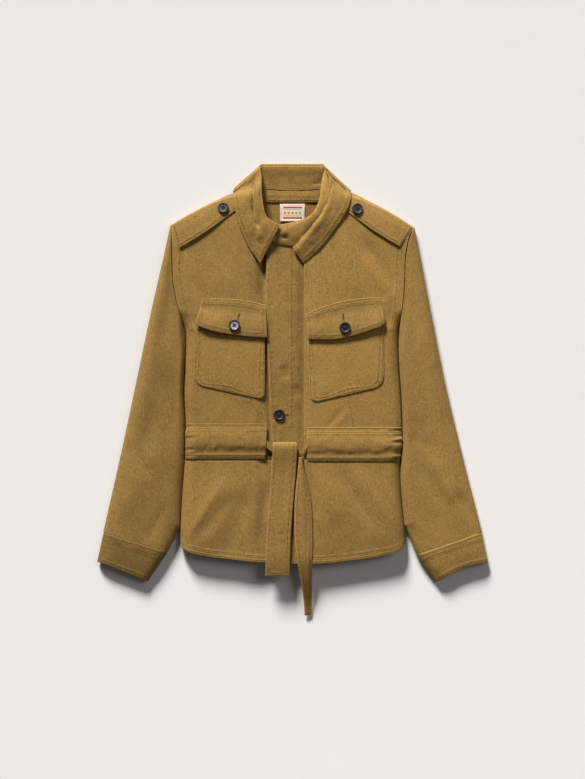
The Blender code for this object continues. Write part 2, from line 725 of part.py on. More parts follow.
def leaf_section(row, side):
    """Section over the front: neck edge, roll, crease, and out to the leaf's edge."""
    neck_x, neck_y, neck_z, crease_x, crease_y, crease_lift, outer_x, outer_y, outer_lift = row
    x = np.interp([0, 0.45, 1], [0, 1], [neck_x, crease_x])
    y = np.interp([0, 0.45, 1], [0, 1], [neck_y, crease_y])
    out = np.array([0.3, 0.62, 0.9, 1])
    x = np.append(x, crease_x + out * (outer_x - crease_x))
    y = np.append(y, crease_y + out * (outer_y - crease_y))
    lift = crease_lift + out * (outer_lift - crease_lift) + LEAF_CROWN * np.sin(np.pi * out)
    height = front_height(x, y)
    slope = (front_height(x, y - 0.6) - front_height(x, y + 0.6)) / 1.2
    steep = np.sqrt(1 + np.clip(slope, 0, 1.6) ** 2)
    height[2] += crease_lift * steep[2]
    height[3:] += lift * steep[3:]
    height[0] = neck_z
    height[1] = max(0.5 * (neck_z + height[2]), height[2]) + 1.4
    turned = roll(leaf_silhouette(x, y, side), 16)
    turned[:2] = 1
    return np.column_stack([x, y, LEAF_FOLD_Z + (height - LEAF_FOLD_Z) * turned])


def leaf_turn_sections(side):
    """Sections round the fold over the shoulder: one above it, the fold itself, and two below it."""
    x0, y0, x1, y1 = LEAF_CORNER[side]
    along = np.array([0.02, 0.06, 0.14, 0.4, 0.68, 0.94, 1])
    base = np.column_stack([x0 + along * (x1 - x0), y0 + along * (y1 - y0)])
    inward = np.array([y1 - y0, x0 - x1]) / math.hypot(x1 - x0, y1 - y0)
    inward = inward * (-1 if side == "right" else 1)
    down_edge = np.array([0, -1.0]) / abs(inward[1])
    towards_edge = ease(along, 0.4, 1)[:, None]
    inward = inward + towards_edge * (down_edge - inward)
    made = []
    plan = base + 3.0 * inward
    height = LEAF_FOLD_Z + (front_height(plan[:, 0], plan[:, 1]) + 8.4 - LEAF_FOLD_Z) * roll(3.0, 16)
    height = height + 2.0 * (1 - ease(along, 0.1, 0.5))
    above = np.column_stack([plan, height])
    above[:2] = LEAF_NECK_TURN[side]
    made.append(above)
    fold = np.column_stack([base, np.full(len(along), LEAF_FOLD_Z)])
    fold[0] = (x0 - signed(side) * 0.5, y0 - 4.0, 8.8)
    fold[1] = (x0, y0 - 0.6, 7.6)
    made.append(fold)
    for depth, height in ((2.2, 2.2), (6.5, 0.2)):
        plan = base + depth * inward
        below = np.column_stack([plan, np.full(len(along), height)])
        inner_x = x0 - signed(side) * depth * 0.5
        below[0] = (inner_x, COLLAR_TOP_Y - 6.2, 8.6)
        below[1] = (inner_x, COLLAR_TOP_Y - 1.6, 7.2)
        below[2] = (inner_x, COLLAR_TOP_Y - 0.8, 4.0)
        made.append(below)
    return made if side == "right" else made[::-1]


def collar_leaf(material):
    """Turned-down leaf: over the fronts on both sides, round the shoulders, and flat under the back."""
    grid = [leaf_section(row, "right") for row in LEAF_FRONT_RIGHT]
    grid += leaf_turn_sections("right")
    for x in np.linspace(-47, 45.5, 7):
        wide = x * (1 + 0.5 * (abs(x) / 50) ** 2)
        outer_y = LEAF_BACK_Y + 7 * (x / 50) ** 2
        section = [(x, COLLAR_TOP_Y - 6.2, 8.6), (x, COLLAR_TOP_Y - 1.2, 7.2), (x, COLLAR_TOP_Y, 4.0)]
        section += [(x, COLLAR_TOP_Y - 4, 0.5), (x, COLLAR_TOP_Y - 14, 0.0)]
        section += [(0.3 * x + 0.7 * wide, outer_y + 18, 0.0), (wide, outer_y, 0.0)]
        grid.append(np.array(section))
    grid += leaf_turn_sections("left")
    grid += [leaf_section(row, "left") for row in LEAF_FRONT_LEFT]
    return wall("collar_leaf", grid, COLLAR_CLOTH, material, flip=True)


def neck_facing(material):
    """Band of cloth below the collar seam, on the inner face of the back."""
    x = np.linspace(-52, 47, 6)
    grid = []
    for y, lift in ((630.5, 0.3), (636, 1.0), (644, 1.4), (649, 0.5)):
        inner = back_height(x, np.full_like(x, y)) + CLOTH
        grid.append(np.column_stack([x, np.full_like(x, y), inner + LAY_GAP + 1.1 + lift]))
    return wall("neck_facing", grid, 1.1, material)


def neck_label(material):
    """Woven label on the inner back, its lower edge loose."""
    x = np.linspace(-21.5, 21.5, 5)
    grid = []
    for y, lift in ((597.5, 2.2), (603, 1.4), (612, 0.8), (621, 0.4), (627.5, 0.2)):
        bend = 0.5 * np.cos(x / 21.5 * math.pi / 2) * (lift / 2.2)
        inner = back_height(x, np.full_like(x, y)) + CLOTH
        grid.append(np.column_stack([x, np.full_like(x, y), inner + LAY_GAP + 1.0 + lift + bend]))
    return wall("neck_label", grid, 1.0, material)


# Pieces sewn on the fronts


def rounded_outline(corners, steps=4):
    """Corners with their roundings as a closed line."""
    line = []
    count = len(corners)
    for index, (x, y, radius) in enumerate(corners):
        here = np.array([x, y])
        before = np.array(corners[index - 1][:2]) - here
        after = np.array(corners[(index + 1) % count][:2]) - here
        before, after = before / np.linalg.norm(before), after / np.linalg.norm(after)
        for t in np.linspace(0, 1, steps if radius > 5 else 2):
            start, end = here + radius * before, here + radius * after
            line.append((1 - t) ** 2 * start + 2 * t * (1 - t) * here + t * t * end)
    return np.array(line)


def patch_pocket(side, material):
    """Patch pocket with rounded lower corners, a little full in the middle."""
    outline = rounded_outline(POCKETS[side])
    middle = outline.mean(0)
    grid = []
    for share, full in ((1.0, 0.0), (0.955, 0.55), (0.75, 1.5), (0.45, 2.2), (0.12, 2.5)):
        plan = middle + share * (outline - middle)
        grid.append(on_cover(plan[:, 0], plan[:, 1], POCKET_CLOTH + LAY_GAP + 0.6 + full))
    grid = np.array(grid)
    return disc_wall(f"pocket_{side}", grid, POCKET_CLOTH, material)


def disc_wall(name, grid, thickness, material):
    """A wall whose rings close round a middle: outer ring first, the middle filled by one face."""
    rings, count = grid.shape[:2]
    turn = np.cross(grid[0, 1] - grid[0, 0], grid[1, 0] - grid[0, 0])[2]
    if turn < 0:
        grid = grid[:, ::-1]
    normal = np.array([0, 0, 1.0])
    inner = grid - normal * thickness
    points = np.concatenate([grid.reshape(-1, 3), inner.reshape(-1, 3)])
    size = rings * count
    faces = []
    for level in range(rings - 1):
        for step in range(count):
            a, b = level * count + step, level * count + (step + 1) % count
            c, d = b + count, a + count
            faces.append((a, b, c, d))
            faces.append((d + size, c + size, b + size, a + size))
    for step in range(count):
        a, b = step, (step + 1) % count
        faces.append((b, a, a + size, b + size))
    last = (rings - 1) * count
    faces.append([last + step for step in range(count)])
    faces.append([last + size + step for step in range(count)][::-1])
    return solid(name, points, faces, material)


def pocket_flap(side, material):
    """Flap sewn along its top over the pocket, its outer corner standing clear."""
    table = np.array(FLAPS[side])
    grid = []
    for share in (0, 0.12, 0.32, 0.55, 0.78, 1):
        plan = table[:, :2] + share * (table[:, 2:4] - table[:, :2])
        lift = FLAP_CLOTH + LAY_GAP + 0.3
        over = (POCKET_CLOTH + LAY_GAP + 1.7) * ease(share, 0.3, 0.72)
        lift = lift + over + table[:, 4] * ease(share, 0.35, 1) + 0.8 * math.sin(math.pi * share)
        grid.append(on_cover(plan[:, 0], plan[:, 1], lift))
    return wall(f"flap_{side}", grid, FLAP_CLOTH, material, flip=True)


def shoulder_strap(side, material):
    """Strap from the armhole seam to under the collar, its top edge turned over the shoulder fold."""
    outer_top, outer_bottom, inner_bottom, inner_top = (np.array(c) for c in STRAPS[side])
    grid = []
    for along in np.linspace(0, 1, 11):
        top = outer_top + along * (inner_top - outer_top)
        bottom = outer_bottom + along * (inner_bottom - outer_bottom)
        bottom = bottom - np.array([0, 3.0 * math.sin(math.pi * along)])
        row = []
        for across in (0, 0.06, 0.2, 0.45, 0.75, 1):
            x, y = top + across * (bottom - top)
            stand = 2.6 * ease(across, 0.45, 1) * (1 - ease(along, 0.45, 0.85))
            row.append(on_front(x, y, STRAP_CLOTH + LAY_GAP + stand))
        grid.append(row)
    return wall(f"strap_{side}", grid, STRAP_CLOTH, material, flip=side == "left")


def casing_rise(share, x):
    """Height of the belt tunnel over the front: sewn flat above, full with the belt, gathered in, flat below."""
    profile = [(0, 0.0), (0.1, 0.0), (0.2, 1.2), (0.42, 4.6), (0.6, 4.9), (0.72, 2.6), (0.79, 0.2), (0.88, 0.9), (1, 0.4)]
    gathers = 0.9 * np.sin(x / 6.1) * np.exp(-(((share - 0.72) / 0.1) ** 2))
    side_gathers = 1.1 * np.sin(share * 30) * ease(np.abs(x), 172, 186)
    return smooth_through(profile, share)[..., 0] * (1 - 0.3 * ease(np.abs(x), 170, 188)) + gathers + side_gathers


def casing(side, material):
    """Tunnel that the belt runs through, from the side seam to its open end beside the placket."""
    top_y, seam_y, end_top, end_bottom = CASINGS[side]
    shares = np.array([0, 0.1, 0.2, 0.32, 0.46, 0.6, 0.7, 0.76, 0.8, 0.88, 1])
    grid = []
    for share in shares[::-1]:
        y = top_y + share * (seam_y - top_y)
        start = end_top + share * (end_bottom - end_top)
        outer = signed(side) * (float(body_edge(y, side)) - 3.0)
        x = spread((outer, 0), (start, 0), (0, 4, 10, 18, 28), 12)[:, 0]
        rise = np.maximum(casing_rise(share, x), 0.0)
        grid.append(on_front(x, np.full_like(x, y), CASING_CLOTH + LAY_GAP + 1.1 + rise))
    return wall(f"casing_{side}", grid, CASING_CLOTH, material, flip=side == "left")


# Belt


def frames_along(path, widths, tilts):
    """Sections across a strap: each a width across the path, tilted about it."""
    path = np.asarray(path, float)
    ahead = np.gradient(path, axis=0)
    ahead /= np.linalg.norm(ahead, axis=1, keepdims=True)
    made = []
    for point, way, width, tilt in zip(path, ahead, widths, tilts):
        side = np.cross(way, (0, 0, 1.0))
        side /= np.linalg.norm(side)
        up = np.cross(side, way)
        across = side * math.cos(tilt) + up * math.sin(tilt)
        made.append((point, across, np.cross(across, way), width))
    return made


def strap_solid(name, sections, bend, thickness, material):
    """A strap from its sections; bend is how far its middle stands off the line between its edges."""
    shares = np.array([-0.5, -0.42, -0.2, 0, 0.2, 0.42, 0.5])
    grid = []
    for (middle, across, up, width), hollow in zip(sections, bend):
        arch = hollow * (1 - (2 * shares) ** 2)
        grid.append(middle + np.outer(shares * width, across) + np.outer(arch, up))
    return wall(name, grid, thickness, material)


def belt_wide(material):
    """Wide end: up behind the tie, over its top, and down the front past the hem."""
    #     y, lift over the placket's face, x of the middle
    rows = [(205.0, 3.2, -14.0), (207.6, 5.2, -13.6), (209.0, 7.6, -13.3), (207.4, 10.4, -13.1)]
    rows += [(201, 11.6, -13.1), (191, 11.2, -13.4), (177, 9.4, -14.2), (158, 7.6, -15.4), (132, 6.6, -17.6)]
    rows += [(104, 6.0, -20.0), (72, 5.6, -22.4), (40, 5.4, -24.4), (8, 5.2, -25.4), (-8, 3.6, -25.6)]
    rows += [(-22.5, 0.6, -26.0)]
    grid = []
    for index, (y, lift, x) in enumerate(rows):
        height = float(front_height(-20.0, max(y, 0.0))) + lift
        width = BELT_WIDTH - 8 * (index < 2) - 3 * (index == 2)
        across = np.linspace(-0.5, 0.5, 6)
        arch = 0.8 * (1 - (2 * across) ** 2) * (index > 3)
        grid.append(np.column_stack([x + across * width, np.full(6, y), height + arch]))
    return wall("belt_wide", np.array(grid), BELT_CLOTH, material, flip=False)


def belt_narrow(material):
    """Narrow end: down from the tie, half turned on itself, past the hem to the surface."""
    #     x, y, height, width, tilt, hollow
    rows = [
        (13.6, 184.0, 31.0, 6.5, 0.0, 1.2),
        (14.0, 176.0, 31.6, 7.5, 0.1, 1.6),
        (15.0, 160.0, 31.6, 12.0, 0.12, 2.2),
        (16.6, 138.0, 31.4, 19.5, 0.14, 2.2),
        (18.0, 112.0, 31.4, 26.5, 0.14, 1.6),
        (18.8, 86.0, 31.6, 30.0, 0.12, 1.2),
        (19.4, 54.0, 31.6, 30.5, 0.1, 1.0),
        (20.6, 26.0, 31.2, 28.5, 0.1, 1.0),
        (22.0, 2.0, 29.6, 25.0, 0.14, 1.2),
        (24.2, -24.0, 23.6, 20.5, 0.2, 1.4),
        (26.2, -50.0, 15.0, 16.5, 0.26, 1.4),
        (27.2, -73.0, 8.2, 13.0, 0.24, 1.0),
        (27.4, -91.8, 4.6, 11.0, 0.16, 0.6),
    ]
    table = np.array(rows)
    sections = frames_along(table[:, :3], table[:, 3], table[:, 4])
    return strap_solid("belt_narrow", sections, table[:, 5], BELT_CLOTH, material)


def belt_runs(side, material):
    """Belt where it leaves its tunnel, gathered small, and runs to the tie."""
    #     x, y, lift over the front, half width across, half height
    if side == "right":
        rows = [(-57, 216, 2.6, 6.0, 1.5), (-50, 211, 2.8, 6.5, 1.6), (-43, 204.5, 3.6, 7.0, 1.8)]
        rows += [(-37, 200.0, 4.2, 6.0, 1.8), (-33.6, 198.6, 4.4, 5.0, 1.7)]
    else:
        rows = [(38, 209, 2.8, 4.0, 1.4), (31, 207, 2.9, 4.5, 1.5), (25, 201.5, 3.6, 6.5, 1.8)]
        rows += [(20.5, 194.5, 4.2, 6.0, 1.8), (17.6, 191.6, 4.4, 5.0, 1.7)]
    grid = []
    for x, y, lift, wide, high in rows:
        turn = np.linspace(0, 2 * math.pi, 9)[:-1]
        height = float(front_height(x, y)) + lift
        grid.append(np.column_stack([np.full(8, x), y + wide * np.cos(turn), height + high * np.sin(turn)]))
    return tube_solid(f"belt_run_{side}", np.array(grid), material)


def belt_tie(material):
    """The single crossing of the belt's two ends, between the tunnels."""
    #     x, y, lift over the front, half width across, half height
    rows = [(-33.2, 197.8, 4.2, 3.6, 1.6), (-26, 197.2, 4.2, 4.4, 2.0), (-14, 196.8, 4.2, 4.6, 2.2)]
    rows += [(0, 195.6, 4.2, 5.0, 2.2), (9, 192.4, 4.4, 6.0, 2.3), (14, 190.4, 4.6, 5.0, 2.2)]
    rows += [(17.2, 189.8, 4.6, 3.6, 1.6)]
    grid = []
    for x, y, lift, wide, high in rows:
        turn = np.linspace(0, 2 * math.pi, 11)[:-1]
        height = float(front_height(x, y)) + lift
        grid.append(np.column_stack([np.full(10, x), y + wide * np.cos(turn), height + high * np.sin(turn)]))
    return tube_solid("belt_tie", np.array(grid), material)


def tube_solid(name, grid, material):
    """A filled, closed tube through rings, with a face at each end."""
    rings, count = grid.shape[:2]
    faces = []
    for level in range(rings - 1):
        for step in range(count):
            a, b = level * count + step, level * count + (step + 1) % count
            faces.append((a, b, b + count, a + count))
    faces.append(list(range(count))[::-1])
    faces.append([(rings - 1) * count + step for step in range(count)])
    made = solid(name, grid.reshape(-1, 3), faces, material)
    turn_outwards(made)
    return made


def turn_outwards(made):
    """Turns a closed mesh's faces to look outwards."""
    mesh = made.data
    volume = 0.0
    for face in mesh.polygons:
        corners = [mesh.vertices[i].co for i in face.vertices]
        for second, third in zip(corners[1:], corners[2:]):
            volume += corners[0].dot(second.cross(third))
    if volume < 0:
        mesh.flip_normals()


# Buttons


def button_profile():
    """Half section of a button as (radius, height): flat back, round edge, raised rim, dished middle."""
    rim = [(BUTTON_RADIUS * s, BUTTON_HEIGHT * h) for s, h in ((0.9, 0.0), (1.0, 0.3), (0.98, 0.72), (0.88, 1.0))]
    dish = [(BUTTON_RADIUS * s, BUTTON_HEIGHT * h) for s, h in ((0.72, 0.94), (0.6, 0.68), (0.36, 0.6))]
    return rim + dish


def button(name, x, y, lift, material, cutters):
    """Four-hole button lying on the cloth."""
    sides = 16
    ring_points = []
    for radius, height in button_profile():
        turn = np.arange(sides) * 2 * math.pi / sides
        ring_points.append(
            np.column_stack([radius * np.cos(turn), radius * np.sin(turn), np.full(sides, height)])
        )
    grid = np.array(ring_points)
    base = on_front(x, y, 0.0)
    tilt = on_front(x, y, 1.0) - base
    made = tube_solid(name, grid + np.array([0, FRAME_Y, 0]), material)
    hole = bpy.data.objects.new(name + "_holes", cutters)
    hole.hide_render = True
    hole.display_type = "WIRE"
    bpy.context.scene.collection.objects.link(hole)
    hole.parent = made
    cut = made.modifiers.new("thread_holes", "BOOLEAN")
    cut.object = hole
    cut.operation = "DIFFERENCE"
    cut.solver = "EXACT"
    made.location = ((base + tilt * lift) - np.array([0, FRAME_Y, 0])) * MM
    made.rotation_mode = "XYZ"
    made.rotation_euler = (-math.atan2(tilt[1], tilt[2]), math.atan2(tilt[0], tilt[2]), 0)
    return made


def hole_cutters():
    """The four thread holes of a button as one mesh."""
    sides, radius, offset = 4, 1.2, 2.2
    points, faces = [], []
    for turn in range(4):
        angle = math.pi / 4 + turn * math.pi / 2
        centre = np.array([offset * math.cos(angle), offset * math.sin(angle)])
        first = len(points)
        for height in (-1.0, BUTTON_HEIGHT + 1.0):
            for step in range(sides):
                spin = step * 2 * math.pi / sides
                place = centre + radius * np.array([math.cos(spin), math.sin(spin)])
                points.append((place[0] * MM, place[1] * MM, height * MM))
        for step in range(sides):
            a, b = first + step, first + (step + 1) % sides
            faces.append((a, b, b + sides, a + sides))
        faces.append([first + step for step in range(sides)][::-1])
        faces.append([first + sides + step for step in range(sides)])
    mesh = bpy.data.meshes.new("thread_holes")
    mesh.from_pydata(points, [], faces)
    return mesh


def main():
    for old in list(bpy.data.objects):
        bpy.data.objects.remove(old)
    cloth = material_of("cloth", (0.29, 0.175, 0.05), 0.85)
    horn = material_of("button", (0.012, 0.012, 0.018), 0.3)
    woven = material_of("label", (0.8, 0.68, 0.6), 0.7)
    back_bodice(cloth)
    back_peplum(cloth)
    placket(cloth)
    for side in ("right", "left"):
        front_bodice(side, cloth)
        peplum_front(side, cloth)
        sleeve(side, cloth)
        cuff(side, cloth)
        patch_pocket(side, cloth)
        pocket_flap(side, cloth)
        shoulder_strap(side, cloth)
        casing(side, cloth)
        belt_runs(side, cloth)
    collar_stand(cloth)
    collar_leaf(cloth)
    neck_facing(cloth)
    neck_label(woven)
    belt_tie(cloth)
    belt_wide(cloth)
    belt_narrow(cloth)
    cutters = hole_cutters()
    for name, x, y, lift in BUTTONS:
        button(name, x, y, lift, horn, cutters)


main()
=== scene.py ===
"""Looks of the utility jacket: finer cloth with its creases, sewing, buttons, label, light and camera.

Sizes are in millimetres. X runs to the wearer's left, Y from the hem (0) up to the collar, and Z up from the
surface that the jacket lies on. Each piece of cloth stands for the solid of the same name and has its form.
"""

import json
import math

import bpy
import numpy as np
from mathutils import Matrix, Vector
from mathutils.bvhtree import BVHTree

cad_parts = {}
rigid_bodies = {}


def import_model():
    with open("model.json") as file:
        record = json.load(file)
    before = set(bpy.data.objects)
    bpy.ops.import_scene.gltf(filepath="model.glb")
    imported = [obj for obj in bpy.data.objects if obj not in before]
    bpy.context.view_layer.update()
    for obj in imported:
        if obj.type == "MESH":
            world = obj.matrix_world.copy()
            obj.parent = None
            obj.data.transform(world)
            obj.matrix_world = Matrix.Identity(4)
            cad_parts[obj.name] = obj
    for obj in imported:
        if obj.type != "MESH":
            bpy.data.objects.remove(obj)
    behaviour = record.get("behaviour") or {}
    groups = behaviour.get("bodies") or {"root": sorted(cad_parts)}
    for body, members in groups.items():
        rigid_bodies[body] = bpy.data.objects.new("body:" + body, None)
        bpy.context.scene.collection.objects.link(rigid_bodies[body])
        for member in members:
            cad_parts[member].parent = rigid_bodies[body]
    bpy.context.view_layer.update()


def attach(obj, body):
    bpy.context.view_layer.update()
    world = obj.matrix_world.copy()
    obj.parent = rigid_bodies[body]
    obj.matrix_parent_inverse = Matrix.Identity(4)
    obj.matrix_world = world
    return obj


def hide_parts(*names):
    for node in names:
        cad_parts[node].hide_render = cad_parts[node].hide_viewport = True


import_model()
MM = 0.001

# Cloth walls
CLOTH = 1.6
COLLAR_CLOTH = 1.8
CUFF_CLOTH = 2.0
POCKET_CLOTH = 1.2
FLAP_CLOTH = 1.8
STRAP_CLOTH = 1.9
CASING_CLOTH = 1.3
BELT_CLOTH = 2.2
SEAM_GAP = 0.3
SLEEVE_GAP = 0.5
LAY_GAP = 0.5

# Body
SHOULDER_X = 212.0
SHOULDER_Y = 588.0
NECK_X = 78.0
NECK_Y = 658.0
UNDERARM_Y = 405.0
WAIST_Y = 180.0
FOLD_Z = 8.5
SIDE_ROLL = 20.0
SHOULDER_ROLL = 30.0
BACK_ROLL = 10.0
NECK_RAISE = 2.5
ARMHOLE_SOFT = 45.0
ARMHOLE_SHARE = 0.8
CROWN = 2.5
FRONT_EDGE_X = -28.0
PLACKET_LEFT_X = 20.0
NECK_DROP_Y = 556.0

# Collar
COLLAR_TOP_Y = 698.0
BACK_SEAM_Y = 651.0
COLLAR_CORNER_Y = 694.0

# Belt
BELT_WIDTH = 41.0
BELT_TIP_Y = -93.0

# Buttons
BUTTON_RADIUS = 9.8
BUTTON_HEIGHT = 3.2

# The frame's origin is under the middle of the whole jacket, belt end to collar
FRAME_Y = (COLLAR_TOP_Y + BELT_TIP_Y) / 2

# Outline of the body: distance of the side edge and the armhole seam from the centre line
#     y, wearer's right, wearer's left
BODY_EDGE = [
    (15, 196.5, 199.0),
    (60, 195.8, 196.0),
    (105, 194.0, 191.0),
    (142, 191.5, 188.5),
    (180, 188.5, 188.5),
    (205, 186.8, 191.0),
    (240, 187.2, 192.0),
    (300, 190.0, 189.5),
    (350, 188.0, 186.0),
    (405, 187.0, 185.0),
    (448, 200.4, 191.6),
    (485, 207.8, 195.0),
    (540, 210.5, 197.6),
    (568, 211.3, 203.0),
    (588, 212.0, 212.0),
]

# Hem line of the fronts:  distance from the centre line, y on the right, y on the left
HEM = [
    (0, -1.0, -1.5),
    (48, 0.5, -1.2),
    (115, 7.0, 6.0),
    (160, 13.5, 13.5),
    (188, 22.0, 22.5),
    (199, 30.0, 34.0),
]

# Front neckline:  y, right edge of the neck hole, left edge of the neck hole
NECKLINE = [
    (NECK_DROP_Y, -28.0, 20.0),
    (575, -46.0, 34.0),
    (598, -59.0, 52.0),
    (628, -69.0, 67.0),
    (NECK_Y, -NECK_X, NECK_X),
]

# Height of the front over the surface:  y, height
LOFT = [
    (-95, 20.0),
    (0, 21.0),
    (70, 23.0),
    (180, 21.0),
    (260, 23.0),
    (360, 26.0),
    (460, 26.0),
    (540, 24.0),
    (600, 23.0),
    (700, 20.0),
]

# Sleeve outline:  y, right outer edge, left outer edge
SLEEVE_EDGE = [
    (588, 212.0, 212.0),
    (460, 242.4, 237.1),
    (320, 272.1, 265.1),
    (180, 301.9, 298.4),
    (54, 330.5, 330.3),
    (-5, 343.5, 343.5),
]

# Inner edge of the sleeve where it leaves the body's side:  y, right, left
SLEEVE_INSIDE = [
    (-34, 254.0, 253.0),
    (17, 219.5, 216.5),
    (35, 209.5, 209.0),
    (62, 197.4, 198.6),
]

# Loft of the sleeve:  share of its length from armhole to cuff, height
SLEEVE_LOFT = [(0, 24.0), (0.15, 25.0), (0.45, 23.0), (0.75, 21.0), (1.0, 19.0)]

# Cuffs:  y at the outer seam, y at the inner seam, y at the outer mouth, y at the inner mouth, bow
CUFFS = {
    "right": (53.0, 19.0, 2.0, -33.0, 1.0),
    "left": (54.0, 14.0, 1.0, -34.0, 7.0),
}

# Soft folds of the fronts:  x0, y0, x1, y1, half width, height (troughs are negative)
FRONT_FOLDS = [
    (60, 622, 128, 468, 26, 2.8),
    (118, 560, 168, 448, 22, -2.2),
    (-88, 610, -112, 470, 28, 2.2),
    (-165, 560, -150, 430, 24, -1.6),
    (-160, 20, -108, 150, 24, 2.4),
    (-122, 8, -78, 120, 20, -1.8),
    (62, 2, 74, 140, 22, 1.6),
    (168, 24, 102, 158, 24, 2.4),
]

# Soft folds of the sleeves:  as above
SLEEVE_FOLDS = [
    (-222, 520, -236, 380, 20, -2.0),
    (-246, 440, -268, 250, 22, 1.6),
    (-215, 330, -262, 196, 20, -1.6),
    (-232, 200, -292, 92, 22, 1.8),
    (214, 540, 228, 400, 20, -1.8),
    (246, 400, 262, 250, 22, 1.6),
    (214, 250, 250, 130, 20, -1.6),
    (248, 190, 304, 70, 20, 2.0),
]

# Collar stand, section by section from its right end, under the other, round the back to its left end.
#     hole-side x, y, z and seam-side x, y, z
STAND_FRONT_RIGHT = [
    (-24, 582, 27.2, -35.5, 562.5, 25.8),
    (-38, 592, 28.4, -52, 574, 26.8),
    (-50, 609, 29.6, -63.5, 592, 28.6),
    (-56.5, 630, 28.4, -67.2, 618, 28.0),
    (-59.0, 650, 22.4, -70.5, 642, 22.0),
    (-60.5, 668, 13.6, -70, 660, 12.8),
    (-61.5, 681, 8.6, -68, 670, 8.0),
]
STAND_FRONT_LEFT = [
    (55.4, 687, 9.8, 66, 673, 8.6),
    (53, 676, 16.0, 70.0, 663, 13.4),
    (49.5, 657, 25.0, 70.0, 645, 21.6),
    (45.5, 632, 30.4, 62.5, 623, 27.2),
    (36, 613, 32.0, 50, 600, 28.8),
    (21, 601.5, 32.6, 28, 576, 29.0),
    (1, 595.5, 32.4, 11, 555.5, 29.2),
    (-24, 590, 32.0, -32, 557.5, 29.0),
]
STAND_FOLD_Z = 7.0
STAND_BACK_Z = 5.2
STAND_CROWN = 2.6

# Collar leaf, section by section from its front edge up to the fold over the shoulder.
#     neck edge x, y, height; crease x, y, lift over the front; outer edge x, y, lift over the front
LEAF_FRONT_RIGHT = [
    (-22.0, 588.5, 37.4, -36, 563, 10.4, -56.5, 523.6, 3.0),
    (-32.0, 595.0, 37.8, -46, 571, 10.6, -66.0, 537.0, 3.0),
    (-41.5, 600.0, 37.4, -55, 579, 10.2, -77.0, 554.0, 3.0),
    (-47.0, 607.0, 36.6, -62, 589, 8.6, -88.0, 578.0, 3.4),
    (-50.8, 622.0, 35.0, -67, 606, 7.6, -96.0, 602.0, 4.8),
    (-53.2, 640.0, 31.6, -69, 626, 7.2, -101.0, 626.0, 6.0),
    (-54.0, 657.0, 27.0, -70, 645, 6.8, -103.4, 641.0, 6.2),
    (-54.8, 674.0, 20.4, -70, 663, 6.6, -103.6, 648.0, 6.2),
]
LEAF_FRONT_LEFT = [
    (63.5, 677.0, 19.4, 74, 668, 6.6, 102.8, 642.0, 6.2),
    (64.5, 662.0, 25.2, 75, 653, 7.0, 101.2, 633.0, 6.2),
    (61.5, 645.0, 30.2, 71, 637, 7.4, 96.0, 619.0, 5.8),
    (55.5, 628.0, 33.0, 66, 619, 7.8, 88.0, 604.5, 4.8),
    (45.0, 605.5, 34.4, 56, 597, 8.2, 74.5, 585.0, 3.6),
    (30.0, 587.0, 33.4, 41, 577, 8.2, 58.0, 562.0, 3.0),
    (18.0, 571.0, 33.4, 28, 560, 8.0, 42.0, 545.0, 3.0),
    (9.0, 558.5, 33.2, 17, 546, 7.6, 28.5, 532.0, 3.0),
    (0.5, 551.0, 33.0, 8, 539, 7.2, 18.7, 523.6, 3.0),
]
LEAF_CORNER = {"right": (-56.5, 695.5, -103.4, 655.7), "left": (55.0, 695.5, 102.6, 651.0)}
LEAF_NECK_TURN = {
    "right": [(-55.6, 686.5, 14.4), (-56.8, 689.9, 14.0)],
    "left": [(57.0, 688.0, 12.8), (57.6, 690.0, 12.6)],
}
LEAF_FOLD_Z = 6.5
LEAF_BACK_Y = 632.0
LEAF_CROWN = 0.5

# Patch pockets:  corner x, y and the corner's rounding, from the upper outer corner round by the bottom
POCKETS = {
    "right": [(-167.5, 420.0, 3), (-173.0, 312.0, 20), (-49.0, 285.0, 14), (-48.5, 402.0, 3)],
    "left": [(158.5, 420.0, 3), (159.5, 309.0, 20), (30.5, 279.0, 18), (27.0, 397.0, 3)],
}

# Pocket flaps, column by column from the outer end:  x and y at the sewn top, x and y at the free edge, lift
FLAPS = {
    "right": [
        (-157.5, 460.5, -168.5, 417.0, 3.6),
        (-147.0, 461.0, -160.0, 412.5, 3.8),
        (-120.0, 461.0, -130.0, 403.5, 3.0),
        (-95.0, 459.5, -100.0, 398.5, 1.6),
        (-70.0, 455.5, -72.0, 395.5, 0.9),
        (-47.0, 450.5, -44.5, 394.0, 0.6),
    ],
    "left": [
        (22.5, 433.5, 26.5, 391.5, 0.8),
        (45.0, 444.0, 50.0, 390.5, 0.9),
        (70.0, 452.0, 77.0, 391.5, 1.2),
        (98.0, 458.5, 106.0, 397.5, 2.0),
        (128.0, 462.0, 138.0, 408.0, 3.4),
        (148.0, 463.5, 156.0, 415.5, 3.8),
        (152.5, 463.5, 160.5, 420.0, 3.4),
    ],
}

# Shoulder straps:  corner x, y: outer top, outer bottom, inner bottom, inner top; lift of the free edge
STRAPS = {
    "right": [(-209.5, 586.2), (-196.5, 550.5), (-94.0, 620.0), (-101.5, 640.5)],
    "left": [(209.5, 586.2), (186.5, 553.0), (89.0, 619.0), (97.5, 641.0)],
}

# Tunnel round the waist for the belt:  y of the top and of the seam, x of the end at the front
CASINGS = {"right": (242.5, 181.5, -44.5, -48.0), "left": (236.5, 177.5, 25.5, 25.5)}

# Buttons:  name, x, y, height of what it is sewn on above the front
BUTTONS = [
    ("button_strap_right", -120.6, 622.6, 3.0),
    ("button_strap_left", 113.0, 621.4, 3.0),
    ("button_pocket_right", -101.2, 415.0, 8.2),
    ("button_pocket_left", 91.4, 411.0, 8.1),
    ("button_front", -23.2, 259.0, 1.2),
]


# Curves and heights


